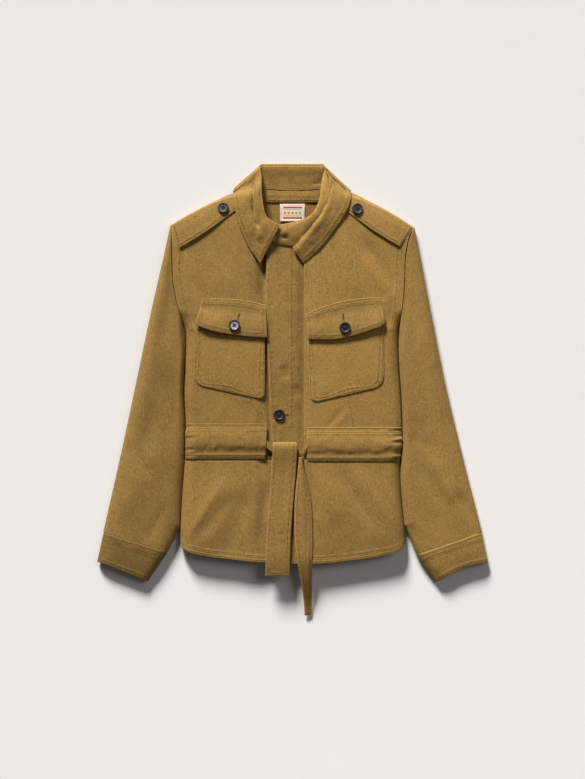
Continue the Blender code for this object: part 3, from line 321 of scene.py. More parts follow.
def smooth_through(rows, at):
    """Values at one place, or at many, on a smooth curve through rows of (place, value, ...)."""
    rows = np.asarray(rows, float)
    rows = rows[np.argsort(rows[:, 0])]
    place, values = rows[:, 0], rows[:, 1:]
    slopes = np.gradient(values, place, axis=0)
    at = np.clip(np.asarray(at, float), place[0], place[-1])
    left = np.clip(np.searchsorted(place, at, side="right") - 1, 0, len(place) - 2)
    step = place[left + 1] - place[left]
    s = ((at - place[left]) / step)[..., None]
    step = step[..., None]
    return (
        (2 * s**3 - 3 * s**2 + 1) * values[left]
        + (s**3 - 2 * s**2 + s) * step * slopes[left]
        + (3 * s**2 - 2 * s**3) * values[left + 1]
        + (s**3 - s**2) * step * slopes[left + 1]
    )


def ease(value, start, end):
    """0 before start, 1 after end, and smooth between."""
    t = np.clip((value - start) / (end - start), 0, 1)
    return t * t * (3 - 2 * t)


def roll(distance, radius):
    """0 on a fold and 1 a radius inside it, upright where it leaves the fold."""
    t = np.clip(distance / radius, 0, 1)
    return np.sqrt(1 - (1 - t) ** 2)


def folds(table, x, y):
    """Height that the soft ridges and troughs of a table add at a place."""
    total = 0.0 * x
    for x0, y0, x1, y1, width, height in table:
        long = math.hypot(x1 - x0, y1 - y0)
        along = ((x - x0) * (x1 - x0) + (y - y0) * (y1 - y0)) / long**2
        across = ((x - x0) * (y1 - y0) - (y - y0) * (x1 - x0)) / long
        ends = np.exp(-((np.maximum(np.abs(along - 0.5) - 0.3, 0) / 0.2) ** 2))
        total = total + height * ends * np.exp(-((across / width) ** 2))
    return total


def body_edge(y, side):
    """Distance of the body's side edge or armhole seam from the centre line."""
    return smooth_through(BODY_EDGE, y)[..., 0 if side == "right" else 1]


def either_edge(x, y):
    return np.where(x < 0, body_edge(y, "right"), body_edge(y, "left"))


def shoulder_distance(x, y):
    """How far a place lies inside the fold along the shoulder."""
    rise = (NECK_Y - SHOULDER_Y) / (SHOULDER_X - NECK_X)
    line = SHOULDER_Y + (SHOULDER_X - np.abs(x)) * rise
    return (line - y) / math.hypot(1, rise)


def front_height(x, y, rolled=True):
    """Height of the outer face of the front panels."""
    x, y = np.asarray(x, float), np.asarray(y, float)
    loft = smooth_through(LOFT, y)[..., 0] + CROWN * (1 - (x / 190) ** 2)
    loft = loft + folds(FRONT_FOLDS, x, y)
    inside = np.maximum(either_edge(x, y) - np.abs(x), 0)
    armhole = ease(y, UNDERARM_Y, UNDERARM_Y + 38)
    share = ARMHOLE_SHARE * armhole
    soft = np.sin(np.clip(inside / ARMHOLE_SOFT, 0, 1) * math.pi / 2)
    edge = share + (1 - share) * ((1 - armhole) * roll(inside, SIDE_ROLL) + armhole * soft)
    edge = edge * roll(np.maximum(shoulder_distance(x, y), 0), SHOULDER_ROLL)
    return FOLD_Z + (loft - FOLD_Z) * (edge if rolled else 1)


def back_height(x, y):
    """Height of the outer, under face of the back panels: flat on the surface, rolling up at its edges, and
    raised at the neck by the collar leaf that lies under it."""
    inside = np.maximum(either_edge(x, y) - np.abs(x), 0)
    armhole = ease(y, UNDERARM_Y, UNDERARM_Y + 30)
    edge = armhole + (1 - armhole) * roll(inside, BACK_ROLL)
    edge = edge * roll(np.maximum(shoulder_distance(x, y), 0), BACK_ROLL)
    over_leaf = NECK_RAISE * ease(y, 596, 622) * (1 - ease(np.abs(x), 118, 150))
    return over_leaf + (FOLD_Z - over_leaf) * (1 - edge)


def on_front(x, y, lift=0.0, surface=front_height):
    """Points a lift above the front's face, along its normal."""
    x, y = np.broadcast_arrays(np.asarray(x, float), np.asarray(y, float))
    reach = 0.6
    slope_x = (surface(x + reach, y) - surface(x - reach, y)) / (2 * reach)
    slope_y = (surface(x, y + reach) - surface(x, y - reach)) / (2 * reach)
    normal = np.stack([-slope_x, -slope_y, np.ones_like(x)], -1)
    normal /= np.linalg.norm(normal, axis=-1, keepdims=True)
    base = np.stack([x, y, surface(x, y)], -1)
    return base + normal * np.asarray(lift, float)[..., None]

# Creases that the solids leave out:  x0, y0, x1, y1, half width, height (troughs are negative)
FRONT_CREASES = [
    (-100, 556, -108, 470, 8, 0.7),
    (-184, 500, -152, 466, 7, -0.6),
    (-196, 470, -160, 452, 6, 0.6),
    (-56, 560, -54, 452, 9, -6.0),
    (-80, 540, -76, 440, 12, 0.8),
    (-118, 284, -132, 246, 7, 0.6),
    (-76, 282, -70, 248, 6, -0.6),
    (-182, 300, -168, 262, 7, 0.7),
    (104, 556, 172, 462, 12, 2.0),
    (122, 566, 184, 480, 10, -1.6),
    (20, 500, 22, 380, 12, -2.6),
    (20, 390, 19, 232, 12, -2.6),
    (40, 520, 42, 330, 12, 1.0),
    (62, 545, 84, 470, 10, 0.9),
    (-150, 560, -140, 470, 12, 0.9),
    (150, 452, 184, 470, 7, 0.7),
    (162, 430, 186, 446, 6, -0.6),
    (50, 545, 58, 500, 3.0, -0.7),
    (58, 500, 67, 456, 3.0, -0.7),
    (88, 269, 63, 238, 4.5, -1.3),
    (99, 268, 75, 238, 7.5, 0.8),
    (140, 296, 150, 250, 7, 0.6),
    (172, 330, 180, 262, 6, -0.6),
    (38, 340, 34, 262, 6, 0.5),
    (-124, 138, -182, 45, 8.5, 2.3),
    (-104, 118, -166, 42, 13, -2.2),
    (-48, 130, -60, 16, 11, -3.0),
    (-98, 168, -86, 96, 9, 0.6),
    (-160, 172, -170, 118, 7, -0.5),
    (38, 166, 82, 72, 12, 2.0),
    (83, 160, 146, 62, 13, -2.8),
    (112, 166, 178, 62, 10, 1.8),
    (150, 168, 178, 122, 7, -0.6),
    (48, 60, 56, 4, 8, -0.6),
    (120, 50, 132, 12, 9, 0.6),
]
PLACKET_CREASES = [
    (-16, 344, -10, 322, 8, -1.7),
    (4, 310, 10, 290, 7, -1.6),
    (-34, 452, -20, 430, 7, 0.5),
    (-4, 540, 2, 470, 5, -0.4),
    (-36, 262, -31, 246, 4, -0.5),
]
SLEEVE_CREASES = [
    (-232, 520, -252, 390, 11, 1.2),
    (-212, 500, -222, 390, 9, -1.4),
    (-270, 316, -230, 270, 10, 1.0),
    (-286, 210, -244, 150, 10, -1.3),
    (-204, 300, -212, 220, 8, -0.5),
    (-300, 118, -262, 66, 7, 0.6),
    (-222, 100, -254, 40, 8, -1.4),
    (-312, 92, -318, 60, 6, -0.5),
    (224, 530, 244, 400, 11, 1.1),
    (206, 470, 214, 370, 9, -1.3),
    (262, 372, 236, 336, 8, 0.6),
    (205, 216, 244, 204, 6, -0.6),
    (206, 236, 250, 222, 7, 0.5),
    (237, 190, 282, 106, 9, 2.2),
    (222, 176, 262, 100, 9, -1.5),
    (289, 122, 320, 72, 9, -2.4),
    (300, 150, 322, 108, 7, 0.8),
    (196, 70, 222, 36, 5.5, -1.0),
    (212, 78, 238, 44, 6, 0.7),
]
CUFF_CREASES = [
    (-322, 44, -300, 20, 7, -0.5),
    (-286, 30, -268, -18, 8, 0.7),
    (-268, 24, -252, -8, 6, -0.8),
    (-326, 30, -330, 8, 6, -0.5),
    (246, 0, 262, -24, 6, 0.5),
    (300, 42, 312, 10, 8, 0.4),
]
UNDER_CREASES = [
    (-140, 470, -60, 380, 10, 1.0),
    (150, 520, 90, 420, 9, 1.1),
    (-120, 300, -150, 220, 10, 0.9),
    (60, 330, 120, 240, 11, 1.2),
    (-100, 140, -160, 40, 10, 1.3),
    (120, 150, 70, 60, 9, 1.0),
    (20, 120, 10, 30, 9, 0.8),
    (-230, 440, -240, 340, 8, 0.9),
    (-270, 220, -250, 130, 8, 1.1),
    (-300, 110, -270, 60, 7, 0.8),
    (225, 460, 240, 330, 8, 1.0),
    (270, 250, 240, 170, 8, 0.9),
    (300, 130, 272, 70, 8, 1.2),
]
LEAF_CREASES = [
    (-68.8, 676, -68.0, 612, 3.6, -6.0),
    (-68.3, 622, -60.2, 586, 3.6, -6.0),
    (-62.5, 598, -58, 586, 3.2, -2.4),
    (-61.5, 668, -60, 606, 4.2, 2.2),
    (-66.2, 584, -66.4, 569, 3.0, -1.2),
    (-67.0, 572, -62.5, 560, 3.0, -1.2),
    (-63.5, 562, -51, 553, 3.0, -1.1),
    (-58, 578, -56, 566, 5.0, 0.7),
    (70, 665, 60, 625, 3.6, -3.4),
    (61, 632, 44, 602, 3.6, -3.6),
    (48, 610, 16, 566, 3.8, -3.0),
    (-82, 600, -74, 566, 5, 0.6),
    (-92, 640, -88, 606, 5, -0.4),
    (72, 640, 62, 612, 5, 0.5),
    (52, 588, 36, 566, 5, -0.5),
    (88, 640, 80, 606, 6, -0.4),
]
BELT_CREASES = [
    (-24, 176, -28, 92, 2.6, 0.5),
    (-12, 190, -18, 60, 2.4, -0.4),
    (-4, 186, -8, 110, 2.2, 0.4),
    (-34, 70, -36, 0, 3.0, 0.4),
    (-22, 54, -16, 46, 4.0, -0.6),
    (16, 150, 18, 60, 2.4, 0.7),
    (24, 120, 28, 20, 2.6, -0.6),
    (12, 90, 16, 10, 2.4, 0.5),
]

# How far the cloth is drawn up along the shoulders:  distance from the centre line, right, left
SHOULDER_DRAW = [
    (90, 0.0, 0.0),
    (104, -0.6, 0.8),
    (115, 2.6, 2.4),
    (128, 4.2, 3.6),
    (160, 5.8, 4.2),
    (182, 5.4, 3.0),
    (196, 4.6, 1.4),
    (212, 3.2, -0.8),
]

# Spacing of the cloth's points
BODY_STEP = 3.0
SMALL_STEP = 2.0
LEAF_STEP = 1.4
BACK_STEP = 6.0
SUPPORT = 0.6

# Sewing
STITCH_PITCH = 3.2
STITCH_LENGTH = 2.5
STITCH_RADIUS = 0.38
SEWN_LINES = 3
SEWN_REACH = 1.5
# How much painted shade deepens the cloth's colour along its stitched lines
SEWN_PAINTED_SHADE = 0.17
PUCKER_REACH = 6.0
ARMHOLE_TOPSTITCH = 13.0
HEM_DEPTH = 10.0


# Fine form of the cloth


def noise(x, y, wide, tall, seed):
    """Smooth random values from -1 to 1, in patches of the given sizes."""
    lattice = np.random.default_rng(seed).random((64, 64)) * 2 - 1
    u, v = np.asarray(x) / wide + 999.3, np.asarray(y) / tall + 999.7
    column, row = np.floor(u).astype(int), np.floor(v).astype(int)
    s, t = u - column, v - row
    s, t = s * s * (3 - 2 * s), t * t * (3 - 2 * t)
    low = lattice[row % 64, column % 64] * (1 - s) + lattice[row % 64, (column + 1) % 64] * s
    high = lattice[(row + 1) % 64, column % 64] * (1 - s) + lattice[(row + 1) % 64, (column + 1) % 64] * s
    return low * (1 - t) + high * t


def creases(table, x, y):
    """Height that a table of narrow ridges and troughs adds at a place, each fading out at both ends."""
    total = 0.0 * x
    for x0, y0, x1, y1, width, height in table:
        long = math.hypot(x1 - x0, y1 - y0)
        along = ((x - x0) * (x1 - x0) + (y - y0) * (y1 - y0)) / long**2
        across = ((x - x0) * (y1 - y0) - (y - y0) * (x1 - x0)) / long
        ends = ease(along, -0.15, 0.3) * (1 - ease(along, 0.7, 1.15))
        total = total + height * ends * np.exp(-((np.abs(across) / width) ** 1.6))
    return total


def front_detail(x, y):
    """What the fronts, and all that lies on them, rise and sink by beyond the solids."""
    inside = np.maximum(either_edge(x, y) - np.abs(x), 0)
    keep = ease(inside, 0, 16) * ease(shoulder_distance(x, y), 0, 16)
    soft = 0.35 * noise(x, y, 34, 70, 1) + 0.1 * noise(x, y, 13, 27, 2)
    return keep * (creases(FRONT_CREASES, x, y) + soft)


def steps(start, end, step):
    return np.linspace(start, end, max(1, math.ceil(abs(end - start) / step)) + 1)


def resample(grid, axis, step, closed=False, support=SUPPORT):
    """A grid's points at even steps on smooth curves along one axis, with a line close inside each open edge."""
    grid = np.moveaxis(np.asarray(grid, float), axis, 0)
    if closed:
        grid = np.concatenate([grid[-2:], grid, grid[:3]])
    gaps = np.linalg.norm(np.diff(grid, axis=0), axis=-1).mean(axis=1)
    place = np.concatenate([[0], np.cumsum(np.maximum(gaps, 0.02))])
    marks = [steps(a, b, step)[:-1] for a, b in zip(place, place[1:])]
    marks = np.append(np.concatenate(marks), place[-1])
    if closed:
        marks = marks[(marks >= place[2] - 1e-9) & (marks < place[-3] - 1e-9)]
    elif support:
        ends = np.array([place[0] + support, place[-1] - support])
        clear = np.min(np.abs(marks[:, None] - ends), axis=1) > 0.35
        marks = np.sort(np.concatenate([marks[clear], ends]))
    rows = np.column_stack([place, grid.reshape(len(place), -1)])
    fine = smooth_through(rows, marks).reshape(len(marks), *grid.shape[1:])
    return np.moveaxis(fine, 0, axis)


def refine(grid, step, closed=False, support=SUPPORT):
    return resample(resample(grid, 0, step, support=support), 1, step, closed, support)


def normals_of(grid, closed, folded=()):
    """Unit normals of a grid of points. A folded edge is the line where the piece turns to its other side."""
    padded = np.pad(grid, ((1, 1), (1, 1), (0, 0)), mode="edge")
    if closed:
        padded[1:-1, 0], padded[1:-1, -1] = grid[:, -1], grid[:, 0]
    mirror = np.array([1, 1, -1.0])
    level = np.array([0, 0, 2.0])
    if "first column" in folded:
        padded[1:-1, 0] = grid[:, 1] * mirror + grid[:, 0] * level
    if "last column" in folded:
        padded[1:-1, -1] = grid[:, -2] * mirror + grid[:, -1] * level
    if "last row" in folded:
        padded[-1, 1:-1] = grid[-2] * mirror + grid[-1] * level
    across = padded[1:-1, 2:] - padded[1:-1, :-2]
    along = padded[2:, 1:-1] - padded[:-2, 1:-1]
    normal = np.cross(across, along)
    size = np.linalg.norm(normal, axis=-1)
    for row, column in zip(*np.nonzero(size < 1e-6)):
        beside = normal[min(row, grid.shape[0] - 2), column], normal[row, 1 if column == 0 else column - 1]
        normal[row, column] = sum(n / max(np.linalg.norm(n), 1e-6) for n in beside)
        size[row, column] = max(np.linalg.norm(normal[row, column]), 1e-9)
    return normal / size[..., None]


def placed(points):
    """Points of the plan, in millimetres, in the frame's metres, the cloth along the shoulders drawn up a little."""
    points = np.array(points, float)
    x, y = points[..., 0], points[..., 1]
    by_side = smooth_through(SHOULDER_DRAW, np.abs(x))
    near = 1 - ease(shoulder_distance(x, y), 0, 42)
    points[..., 1] = y + near * np.where(x < 0, by_side[..., 0], by_side[..., 1])
    return (points - np.array([0, FRAME_Y, 0])) * MM


def new_object(name, points, faces, look, values=None):
    mesh = bpy.data.meshes.new(name)
    mesh.from_pydata(placed(points).tolist(), [], faces)
    mesh.validate()
    mesh.shade_smooth()
    mesh.materials.append(look)
    for key, numbers in (values or {}).items():
        attribute = mesh.attributes.new(key, "FLOAT", "POINT")
        attribute.data.foreach_set("value", np.asarray(numbers, np.float32))
    made = bpy.data.objects.new(name, mesh)
    bpy.context.scene.collection.objects.link(made)
    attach(made, "root")
    return made


SURFACES = {}


def edge_loops(rows, columns, closed, capped):
    """Open edges of a grid as closed runs of (row, column), the face to their left."""
    first = [(0, c) for c in range(columns)]
    last = [(rows - 1, c) for c in range(columns)][::-1]
    if closed:
        return [first] if capped else [first, last]
    right = [(r, columns - 1) for r in range(1, rows - 1)]
    left = [(r, 0) for r in range(1, rows - 1)][::-1]
    return [first + right + last + left]


def cloth(node, grid, thickness, look, closed=False, folded=(), flip=False, capped=False, round_by=0.3, sewn=()):
    """A cloth wall that stands for a solid: outer face, inner face, and a rounded rim between them. Each row of
    stitches it bears is given as every point's distance from it, which the cloth's look reads."""
    grid = np.asarray(grid, float)
    rows, columns = grid.shape[:2]
    normal = normals_of(grid, closed, folded) * (-1 if flip else 1)
    inner = grid - normal * thickness
    count = rows * columns
    index = np.arange(count).reshape(rows, columns)
    if closed:
        index = np.column_stack([index, index[:, 0]])
    quads = np.stack([index[:-1, :-1], index[:-1, 1:], index[1:, 1:], index[1:, :-1]], -1).reshape(-1, 4)
    faces = quads.tolist() + (quads[:, ::-1] + count).tolist()
    points = [grid.reshape(-1, 3), inner.reshape(-1, 3)]
    pale_rim = np.zeros(2 * count)
    rims = []
    total = 2 * count
    for loop in edge_loops(rows, columns, closed, capped):
        at = np.array(loop)
        near = np.clip(at, 1, [rows - 2, columns - 2])
        if closed:
            near[:, 1] = at[:, 1]
        edge, mate = grid[at[:, 0], at[:, 1]], inner[at[:, 0], at[:, 1]]
        out = edge - grid[near[:, 0], near[:, 1]]
        out = out / np.maximum(np.linalg.norm(out, axis=1), 1e-6)[:, None]
        points.append((edge + mate) / 2 + out * thickness * round_by)
        a = at[:, 0] * columns + at[:, 1]
        b = np.roll(a, -1)
        m = total + np.arange(len(a))
        n = np.roll(m, -1)
        faces += np.stack([a, m, n, b], -1).tolist() + np.stack([m, a + count, b + count, n], -1).tolist()
        pale_rim[a] = 1.0
        pale_rim = np.concatenate([pale_rim, np.ones(len(a))])
        rims.append(a)
        total += len(a)
    if capped:
        rim = list(range((rows - 1) * columns, rows * columns))
        faces += [rim, [i + count for i in rim][::-1]]
    if flip:
        faces = [face[::-1] for face in faces]
    values = {"pale_rim_edge": pale_rim}
    for number in range(SEWN_LINES):
        line = np.clip(sewn[number], -9, 9).reshape(-1) if number < len(sewn) else np.full(count, 9.0)
        values[f"sewn_{number}"] = np.concatenate([line, line, *(line[a] for a in rims)])
    made = new_object("cloth_" + node, np.concatenate(points), faces, look, values)
    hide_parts(node)
    SURFACES[node] = {"object": made, "grid": grid, "normal": normal, "closed": closed}
    state_cut(grid, closed, capped)
    return made


def state_cut(grid, closed, capped):
    """Works out the flat size of a piece, its arcs both ways and the area of its outer face, but keeps neither."""
    around = np.concatenate([grid, grid[:, :1]], axis=1) if closed else grid
    across, along = np.diff(around, axis=1), np.diff(around, axis=0)
    area = 0.5 * np.linalg.norm(np.cross(across[:-1], along[:, :-1]), axis=-1).sum()
    area += 0.5 * np.linalg.norm(np.cross(across[1:], along[:, 1:]), axis=-1).sum()
    wide = np.linalg.norm(across, axis=-1).sum(axis=1).max()
    long = np.linalg.norm(along, axis=-1).sum(axis=0).max()
    if capped:
        wide, long = np.ptp(grid[..., 0]), np.ptp(grid[..., 1])
    flat = (wide * MM, long * MM)
    area = min(area * MM * MM, flat[0] * flat[1])


# Body


def spread(start, end, distances, count):
    """Points from start to end: some at set distances from the start, then count even steps."""
    start, end = np.asarray(start, float), np.asarray(end, float)
    long = np.linalg.norm(end - start)
    first = np.asarray(distances) / long
    share = np.concatenate([first, np.linspace(first[-1], 1, count + 1)[1:]])
    share = np.insert(share, len(share) - 1, 1 - SUPPORT / long)
    return start + share[:, None] * (end - start)


EDGE_FINE = 22 * np.linspace(0, 1, 11) ** 2
SHOULDER_FINE = 34 * np.linspace(1, 0, 15) ** 2


def signed(side):
    return -1 if side == "right" else 1


def inner_edge(y, side):
    """The front edge, and above it the neckline."""
    column = 0 if side == "right" else 1
    start = FRONT_EDGE_X if side == "right" else PLACKET_LEFT_X
    return np.where(y < NECK_DROP_Y, start, smooth_through(NECKLINE, y)[..., column])


def front_face(x, y, side):
    """Face of a front panel: the right one dips under the placket, the left one stands a little over it."""
    height = front_height(x, y)
    if side == "right":
        return height - (2.8 + 2.6 * ease(y, 470, 545)) * ease(x, -66, -46)
    return height + 1.0 * (1 - ease(x, PLACKET_LEFT_X, PLACKET_LEFT_X + 18))


def cover_height(x, y):
    """Face that the pockets and flaps lie on: the fronts, raised beside the placket."""
    return front_height(x, y) + 1.0 * (1 - ease(np.abs(x), PLACKET_LEFT_X, PLACKET_LEFT_X + 18))


def on_cover(x, y, lift):
    """Points a lift above the face that the pockets and flaps lie on."""
    return on_front(x, y, lift, cover_height)


def armhole_welt(x, y):
    """The seam allowance inside the armhole, pressed towards the body and sewn down."""
    inside = np.maximum(either_edge(x, y) - np.abs(x), 0)
    armhole = ease(y, UNDERARM_Y - 5, UNDERARM_Y + 20)
    welt = 0.9 * (1 - ease(inside, ARMHOLE_TOPSTITCH - 2.5, ARMHOLE_TOPSTITCH + 0.5))
    return armhole * (welt - 0.35 * np.exp(-(((inside - ARMHOLE_TOPSTITCH) / 1.6) ** 2)))


def line_distance(x, y, line):
    """Distance of places from a straight line in plan, growing fast beyond its ends."""
    (x0, y0), (x1, y1) = line
    long = math.hypot(x1 - x0, y1 - y0)
    along = ((x - x0) * (x1 - x0) + (y - y0) * (y1 - y0)) / long**2
    across = ((x - x0) * (y1 - y0) - (y - y0) * (x1 - x0)) / long
    beyond = np.maximum(np.abs(along - 0.5) - 0.5, 0) * long
    return across + np.where(across < 0, -beyond, beyond)


DART_LINE = ((47.0, 552.0), (66.0, 452.0))


def placket_edge(y):
    """Where the placket's free edge lies."""
    return np.interp(y, [-2, 210, 260, 380, 440, 560], [-43, -35, -38, -43.5, -47, -45])


def front_bodice(side, look):
    """Front panel from the waist seam to the shoulder."""
    lower = steps(WAIST_Y + SEAM_GAP, SHOULDER_Y - 34, BODY_STEP)
    rows = np.concatenate([lower, SHOULDER_Y - SHOULDER_FINE[1:]])
    plan = []
    for y in rows:
        y_inner = y + (NECK_Y - SHOULDER_Y) * ease(y, 360, SHOULDER_Y)
        outer = (signed(side) * float(body_edge(y, side)), y)
        plan.append(spread(outer, (float(inner_edge(y_inner, side)), y_inner), EDGE_FINE, 52))
    plan = np.array(plan)
    x, y = plan[..., 0], plan[..., 1]
    height = front_face(x, y, side) + SEAM_GAP / 2 + front_detail(x, y) + armhole_welt(x, y)
    if side == "right":
        beside = x - placket_edge(y)
        height = height - 3.6 * np.exp(-((np.abs(beside + 2.5) / 4.5) ** 2)) * ease(y, 200, 240)
    grid = np.dstack([x, y, height])
    folded = ("first column", "last row")
    node = f"front_{side}"
    topstitch = either_edge(x, y) - np.abs(x) - ARMHOLE_TOPSTITCH + 12 * (y < UNDERARM_Y)
    lines = [topstitch]
    if side == "left":
        lines.append(line_distance(x, y, DART_LINE))
    return cloth(node, grid, CLOTH, look, folded=folded, flip=side == "left", round_by=0.1, sewn=lines)


def peplum_face(x, y, side):
    """Face of a peplum front: its front edge stands over the placket, more so towards the hem."""
    height = front_face(x, y, side)
    if side == "left":
        height = height + 2.2 * ease(-y, -160, 0) * (1 - ease(x, 30, 70))
    return height


def hem_band(distance, along, seed):
    """The turned-up hem: a thicker band, drawn in a little by its stitching."""
    band = 0.6 * (1 - ease(distance, HEM_DEPTH - 1.5, HEM_DEPTH + 1))
    line = -0.35 * np.exp(-(((distance - HEM_DEPTH) / 1.6) ** 2))
    puckers = 0.3 * noise(along, distance, 8, 30, seed) * np.exp(-((distance / 16) ** 2))
    return band + line + puckers


def peplum_front(side, look):
    """Skirt of the jacket below the waist seam, down to the curved hem."""
    column = 0 if side == "right" else 1
    shares = np.concatenate([[0, 0.004], np.linspace(0.018, 1, 54)])
    grid, over_hem = [], []
    for share in shares:
        y_outer = float(smooth_through(HEM, 199)[column])
        y_outer = y_outer + share * (WAIST_Y - SEAM_GAP - y_outer)
        start = FRONT_EDGE_X if side == "right" else PLACKET_LEFT_X + 16 * (1 - share)
        outer = signed(side) * float(body_edge(y_outer, side))
        x = spread((outer, 0), (start, 0), EDGE_FINE, 52)[:, 0]
        hem = smooth_through(HEM, np.abs(x))[:, column]
        y = hem + share * (WAIST_Y - SEAM_GAP - hem)
        inside = np.maximum(either_edge(x, y) - np.abs(x), 0)
        height = peplum_face(x, y, side) + SEAM_GAP / 2 + front_detail(x, y)
        height = height + ease(inside, 0, 12) * hem_band(y - hem, x, 11 + column)
        if side == "left":
            height = height + 0.5 * (1 - ease(x - start, 5, 7.5))
        grid.append(np.column_stack([x, y, height]))
        over_hem.append(y - hem)
    node = f"peplum_{side}"
    lines = [np.array(over_hem) - HEM_DEPTH, np.array(over_hem) - 2.2]
    folded = ("first column",)
    return cloth(node, grid, CLOTH, look, folded=folded, flip=side == "left", sewn=lines)


def back_panel(node, rows, look, folded=()):
    """A back panel from (y at the sides, y at the middle) rows: flat below, rolled up to the side seams."""
    near = np.array([0, 0.8, 3.0, 6.5, 10.5])
    grid = []
    for y_side, y_middle, dip in rows:
        right, left = float(body_edge(y_side, "right")), float(body_edge(y_side, "left"))
        middle = np.linspace(-right + 30, left - 30, 9)
        x = np.concatenate([-right + near, middle, left - near[::-1]])
        line = np.interp(np.abs(x), [0, NECK_X, SHOULDER_X], [y_middle, y_middle, y_side])
        line = line - dip * np.maximum(1 - (x / NECK_X) ** 2, 0)
        grid.append(np.column_stack([x, line, np.maximum(back_height(x, line) - SEAM_GAP / 2, 0)]))
    finish_back(node, grid, look, ("first column", "last column", *folded))


def finish_back(node, grid, look, folded):
    grid = refine(grid, BACK_STEP)
    raised = np.maximum(creases(UNDER_CREASES, grid[..., 0], grid[..., 1]), 0)
    raised = raised * ease(either_edge(grid[..., 0], grid[..., 1]) - np.abs(grid[..., 0]), 4, 24)
    grid[..., 2] = np.maximum(grid[..., 2], 0) + raised
    cloth(node, grid, CLOTH, look, folded=folded, flip=True, round_by=0.1)


def back_bodice(look):
    rows = []
    for y in np.concatenate([np.linspace(WAIST_Y + SEAM_GAP, 556, 9), [572, 579, 584, 587, SHOULDER_Y]]):
        turned = ease(y, 330, SHOULDER_Y)
        rise = (NECK_Y - SHOULDER_Y) * turned
        rows.append((y, y + rise, (NECK_Y - BACK_SEAM_Y) * ease(turned, 0.9, 1)))
    back_panel("back_bodice", rows, look, folded=("last row",))


def back_peplum(look):
    """Back of the skirt, its hem a little short of the fronts'."""
    near = np.array([0, 0.8, 3.0, 6.5, 10.5])
    grid = []
    for share in np.linspace(0, 1, 6):
        y_side = 38.0 + share * (WAIST_Y - SEAM_GAP - 38.0)
        right, left = float(body_edge(y_side, "right")), float(body_edge(y_side, "left"))
        middle = np.linspace(-right + 30, left - 30, 9)
        x = np.concatenate([-right + near, middle, left - near[::-1]])
        hem = np.where(x < 0, *np.moveaxis(smooth_through(HEM, np.abs(x)), -1, 0)) + 4.0
        y = hem + share * (WAIST_Y - SEAM_GAP - hem)
        grid.append(np.column_stack([x, y, np.maximum(back_height(x, y) - SEAM_GAP / 2, 0)]))
    finish_back("back_peplum", grid, look, ("first column", "last column"))


def placket(look):
    """Button placket from the neck seam to the hem, its left edge sunk under the left front."""
    grid, from_edge, from_middle = [], [], []
    for y in np.concatenate([[-1.5, -0.9], steps(0.5, 170, BODY_STEP), steps(173, 559, BODY_STEP)]):
        right = float(placket_edge(y))
        left = float(np.interp(y, [-2, 180, 560], [42, 27, 27]))
        x = np.concatenate([[right, right + SUPPORT], np.linspace(right + 2, left, 30)])
        across = np.full_like(x, y)
        height = front_height(x, across) + 0.7 - 2.6 * ease(x, 6, 19)
        height = height + front_detail(x, across) + creases(PLACKET_CREASES, x, across)
        height = height - 0.3 * np.exp(-(((x - right - 4.5) / 1.6) ** 2))
        height = height - 0.3 * np.exp(-(((x + 1.0) / 1.8) ** 2)) * ease(y, 225, 250)
        height = height + 0.25 * noise(x, across, 9, 11, 21)
        grid.append(np.column_stack([x, across, height]))
        from_edge.append(x - right - 4.5)
        from_middle.append(x + 1.0 + 20 * (y < 236))
    return cloth("placket", grid, CLOTH, look, sewn=[np.array(from_edge), np.array(from_middle)])


# Sleeves


def sleeve_plan(side, share, across, gap=0.8):
    """Plan points across the sleeve, from its outer edge to its inner edge, a share of the way to the cuff."""
    column = 0 if side == "right" else 1
    seam_outer, seam_inner = CUFFS[side][:2]
    y_outer = SHOULDER_Y + share * (seam_outer - SHOULDER_Y)
    y_inner = UNDERARM_Y + share * (seam_inner - UNDERARM_Y)
    x_outer = smooth_through(SLEEVE_EDGE, y_outer)[column] + gap
    along_body = float(body_edge(max(y_inner, 62.0), side)) + SLEEVE_GAP
    x_inner = along_body if y_inner > 62 else float(smooth_through(SLEEVE_INSIDE, y_inner)[column])
    y = y_outer + across * (y_inner - y_outer)
    x = x_outer + across * (x_inner - x_outer)
    y_seam = SHOULDER_Y + across * (UNDERARM_Y - SHOULDER_Y)
    first_outer = smooth_through(SLEEVE_EDGE, SHOULDER_Y)[column]
    first_inner = float(body_edge(UNDERARM_Y, side)) + SLEEVE_GAP
    straight = first_outer + across * (first_inner - first_outer)
    bow = body_edge(y_seam, side) + gap - straight
    bow = bow + (SLEEVE_GAP - gap) * ease(across, 0.55, 0.9)
    x = x + bow * (1 - ease(share, 0, 0.22))
    return signed(side) * x, y


def sleeve_height(side, share, across, x, y):
    """Height of the sleeve's upper face: the front's own height at the armhole, then its own loft."""
    long = math.hypot(x[-1] - x[0], y[-1] - y[0])
    loft = smooth_through(SLEEVE_LOFT, share)[0] + folds(SLEEVE_FOLDS, x, y)
    rounding = roll(across * long, 34) * roll((1 - across) * long, 24)
    free = FOLD_Z + (loft - FOLD_Z) * rounding
    column = 0 if side == "right" else 1
    y_seam = SHOULDER_Y + across * (UNDERARM_Y - SHOULDER_Y)
    x_seam = signed(side) * smooth_through(BODY_EDGE, y_seam)[..., column]
    sewn = front_height(x_seam, y_seam)
    height = sewn + (free - sewn) * ease(share, 0, 0.16)
    keep = ease(across * long, 0, 16) * ease((1 - across) * long, 0, 14)
    seam = 520.0
    height = height - 0.8 * (1 - ease(share * seam, 0.5, 5)) * keep
    soft = 0.35 * noise(x, y, 34, 74, 31) + 0.1 * noise(x, y, 14, 30, 32)
    height = height + keep * ease(share, 0, 0.03) * (creases(SLEEVE_CREASES, x, y) + soft)
    near_cuff = (1 - share) * seam
    eased = 0.35 * noise(across * long, 0 * x, 9, 9, 33) * np.exp(-((near_cuff / 18) ** 2))
    return height + keep * eased


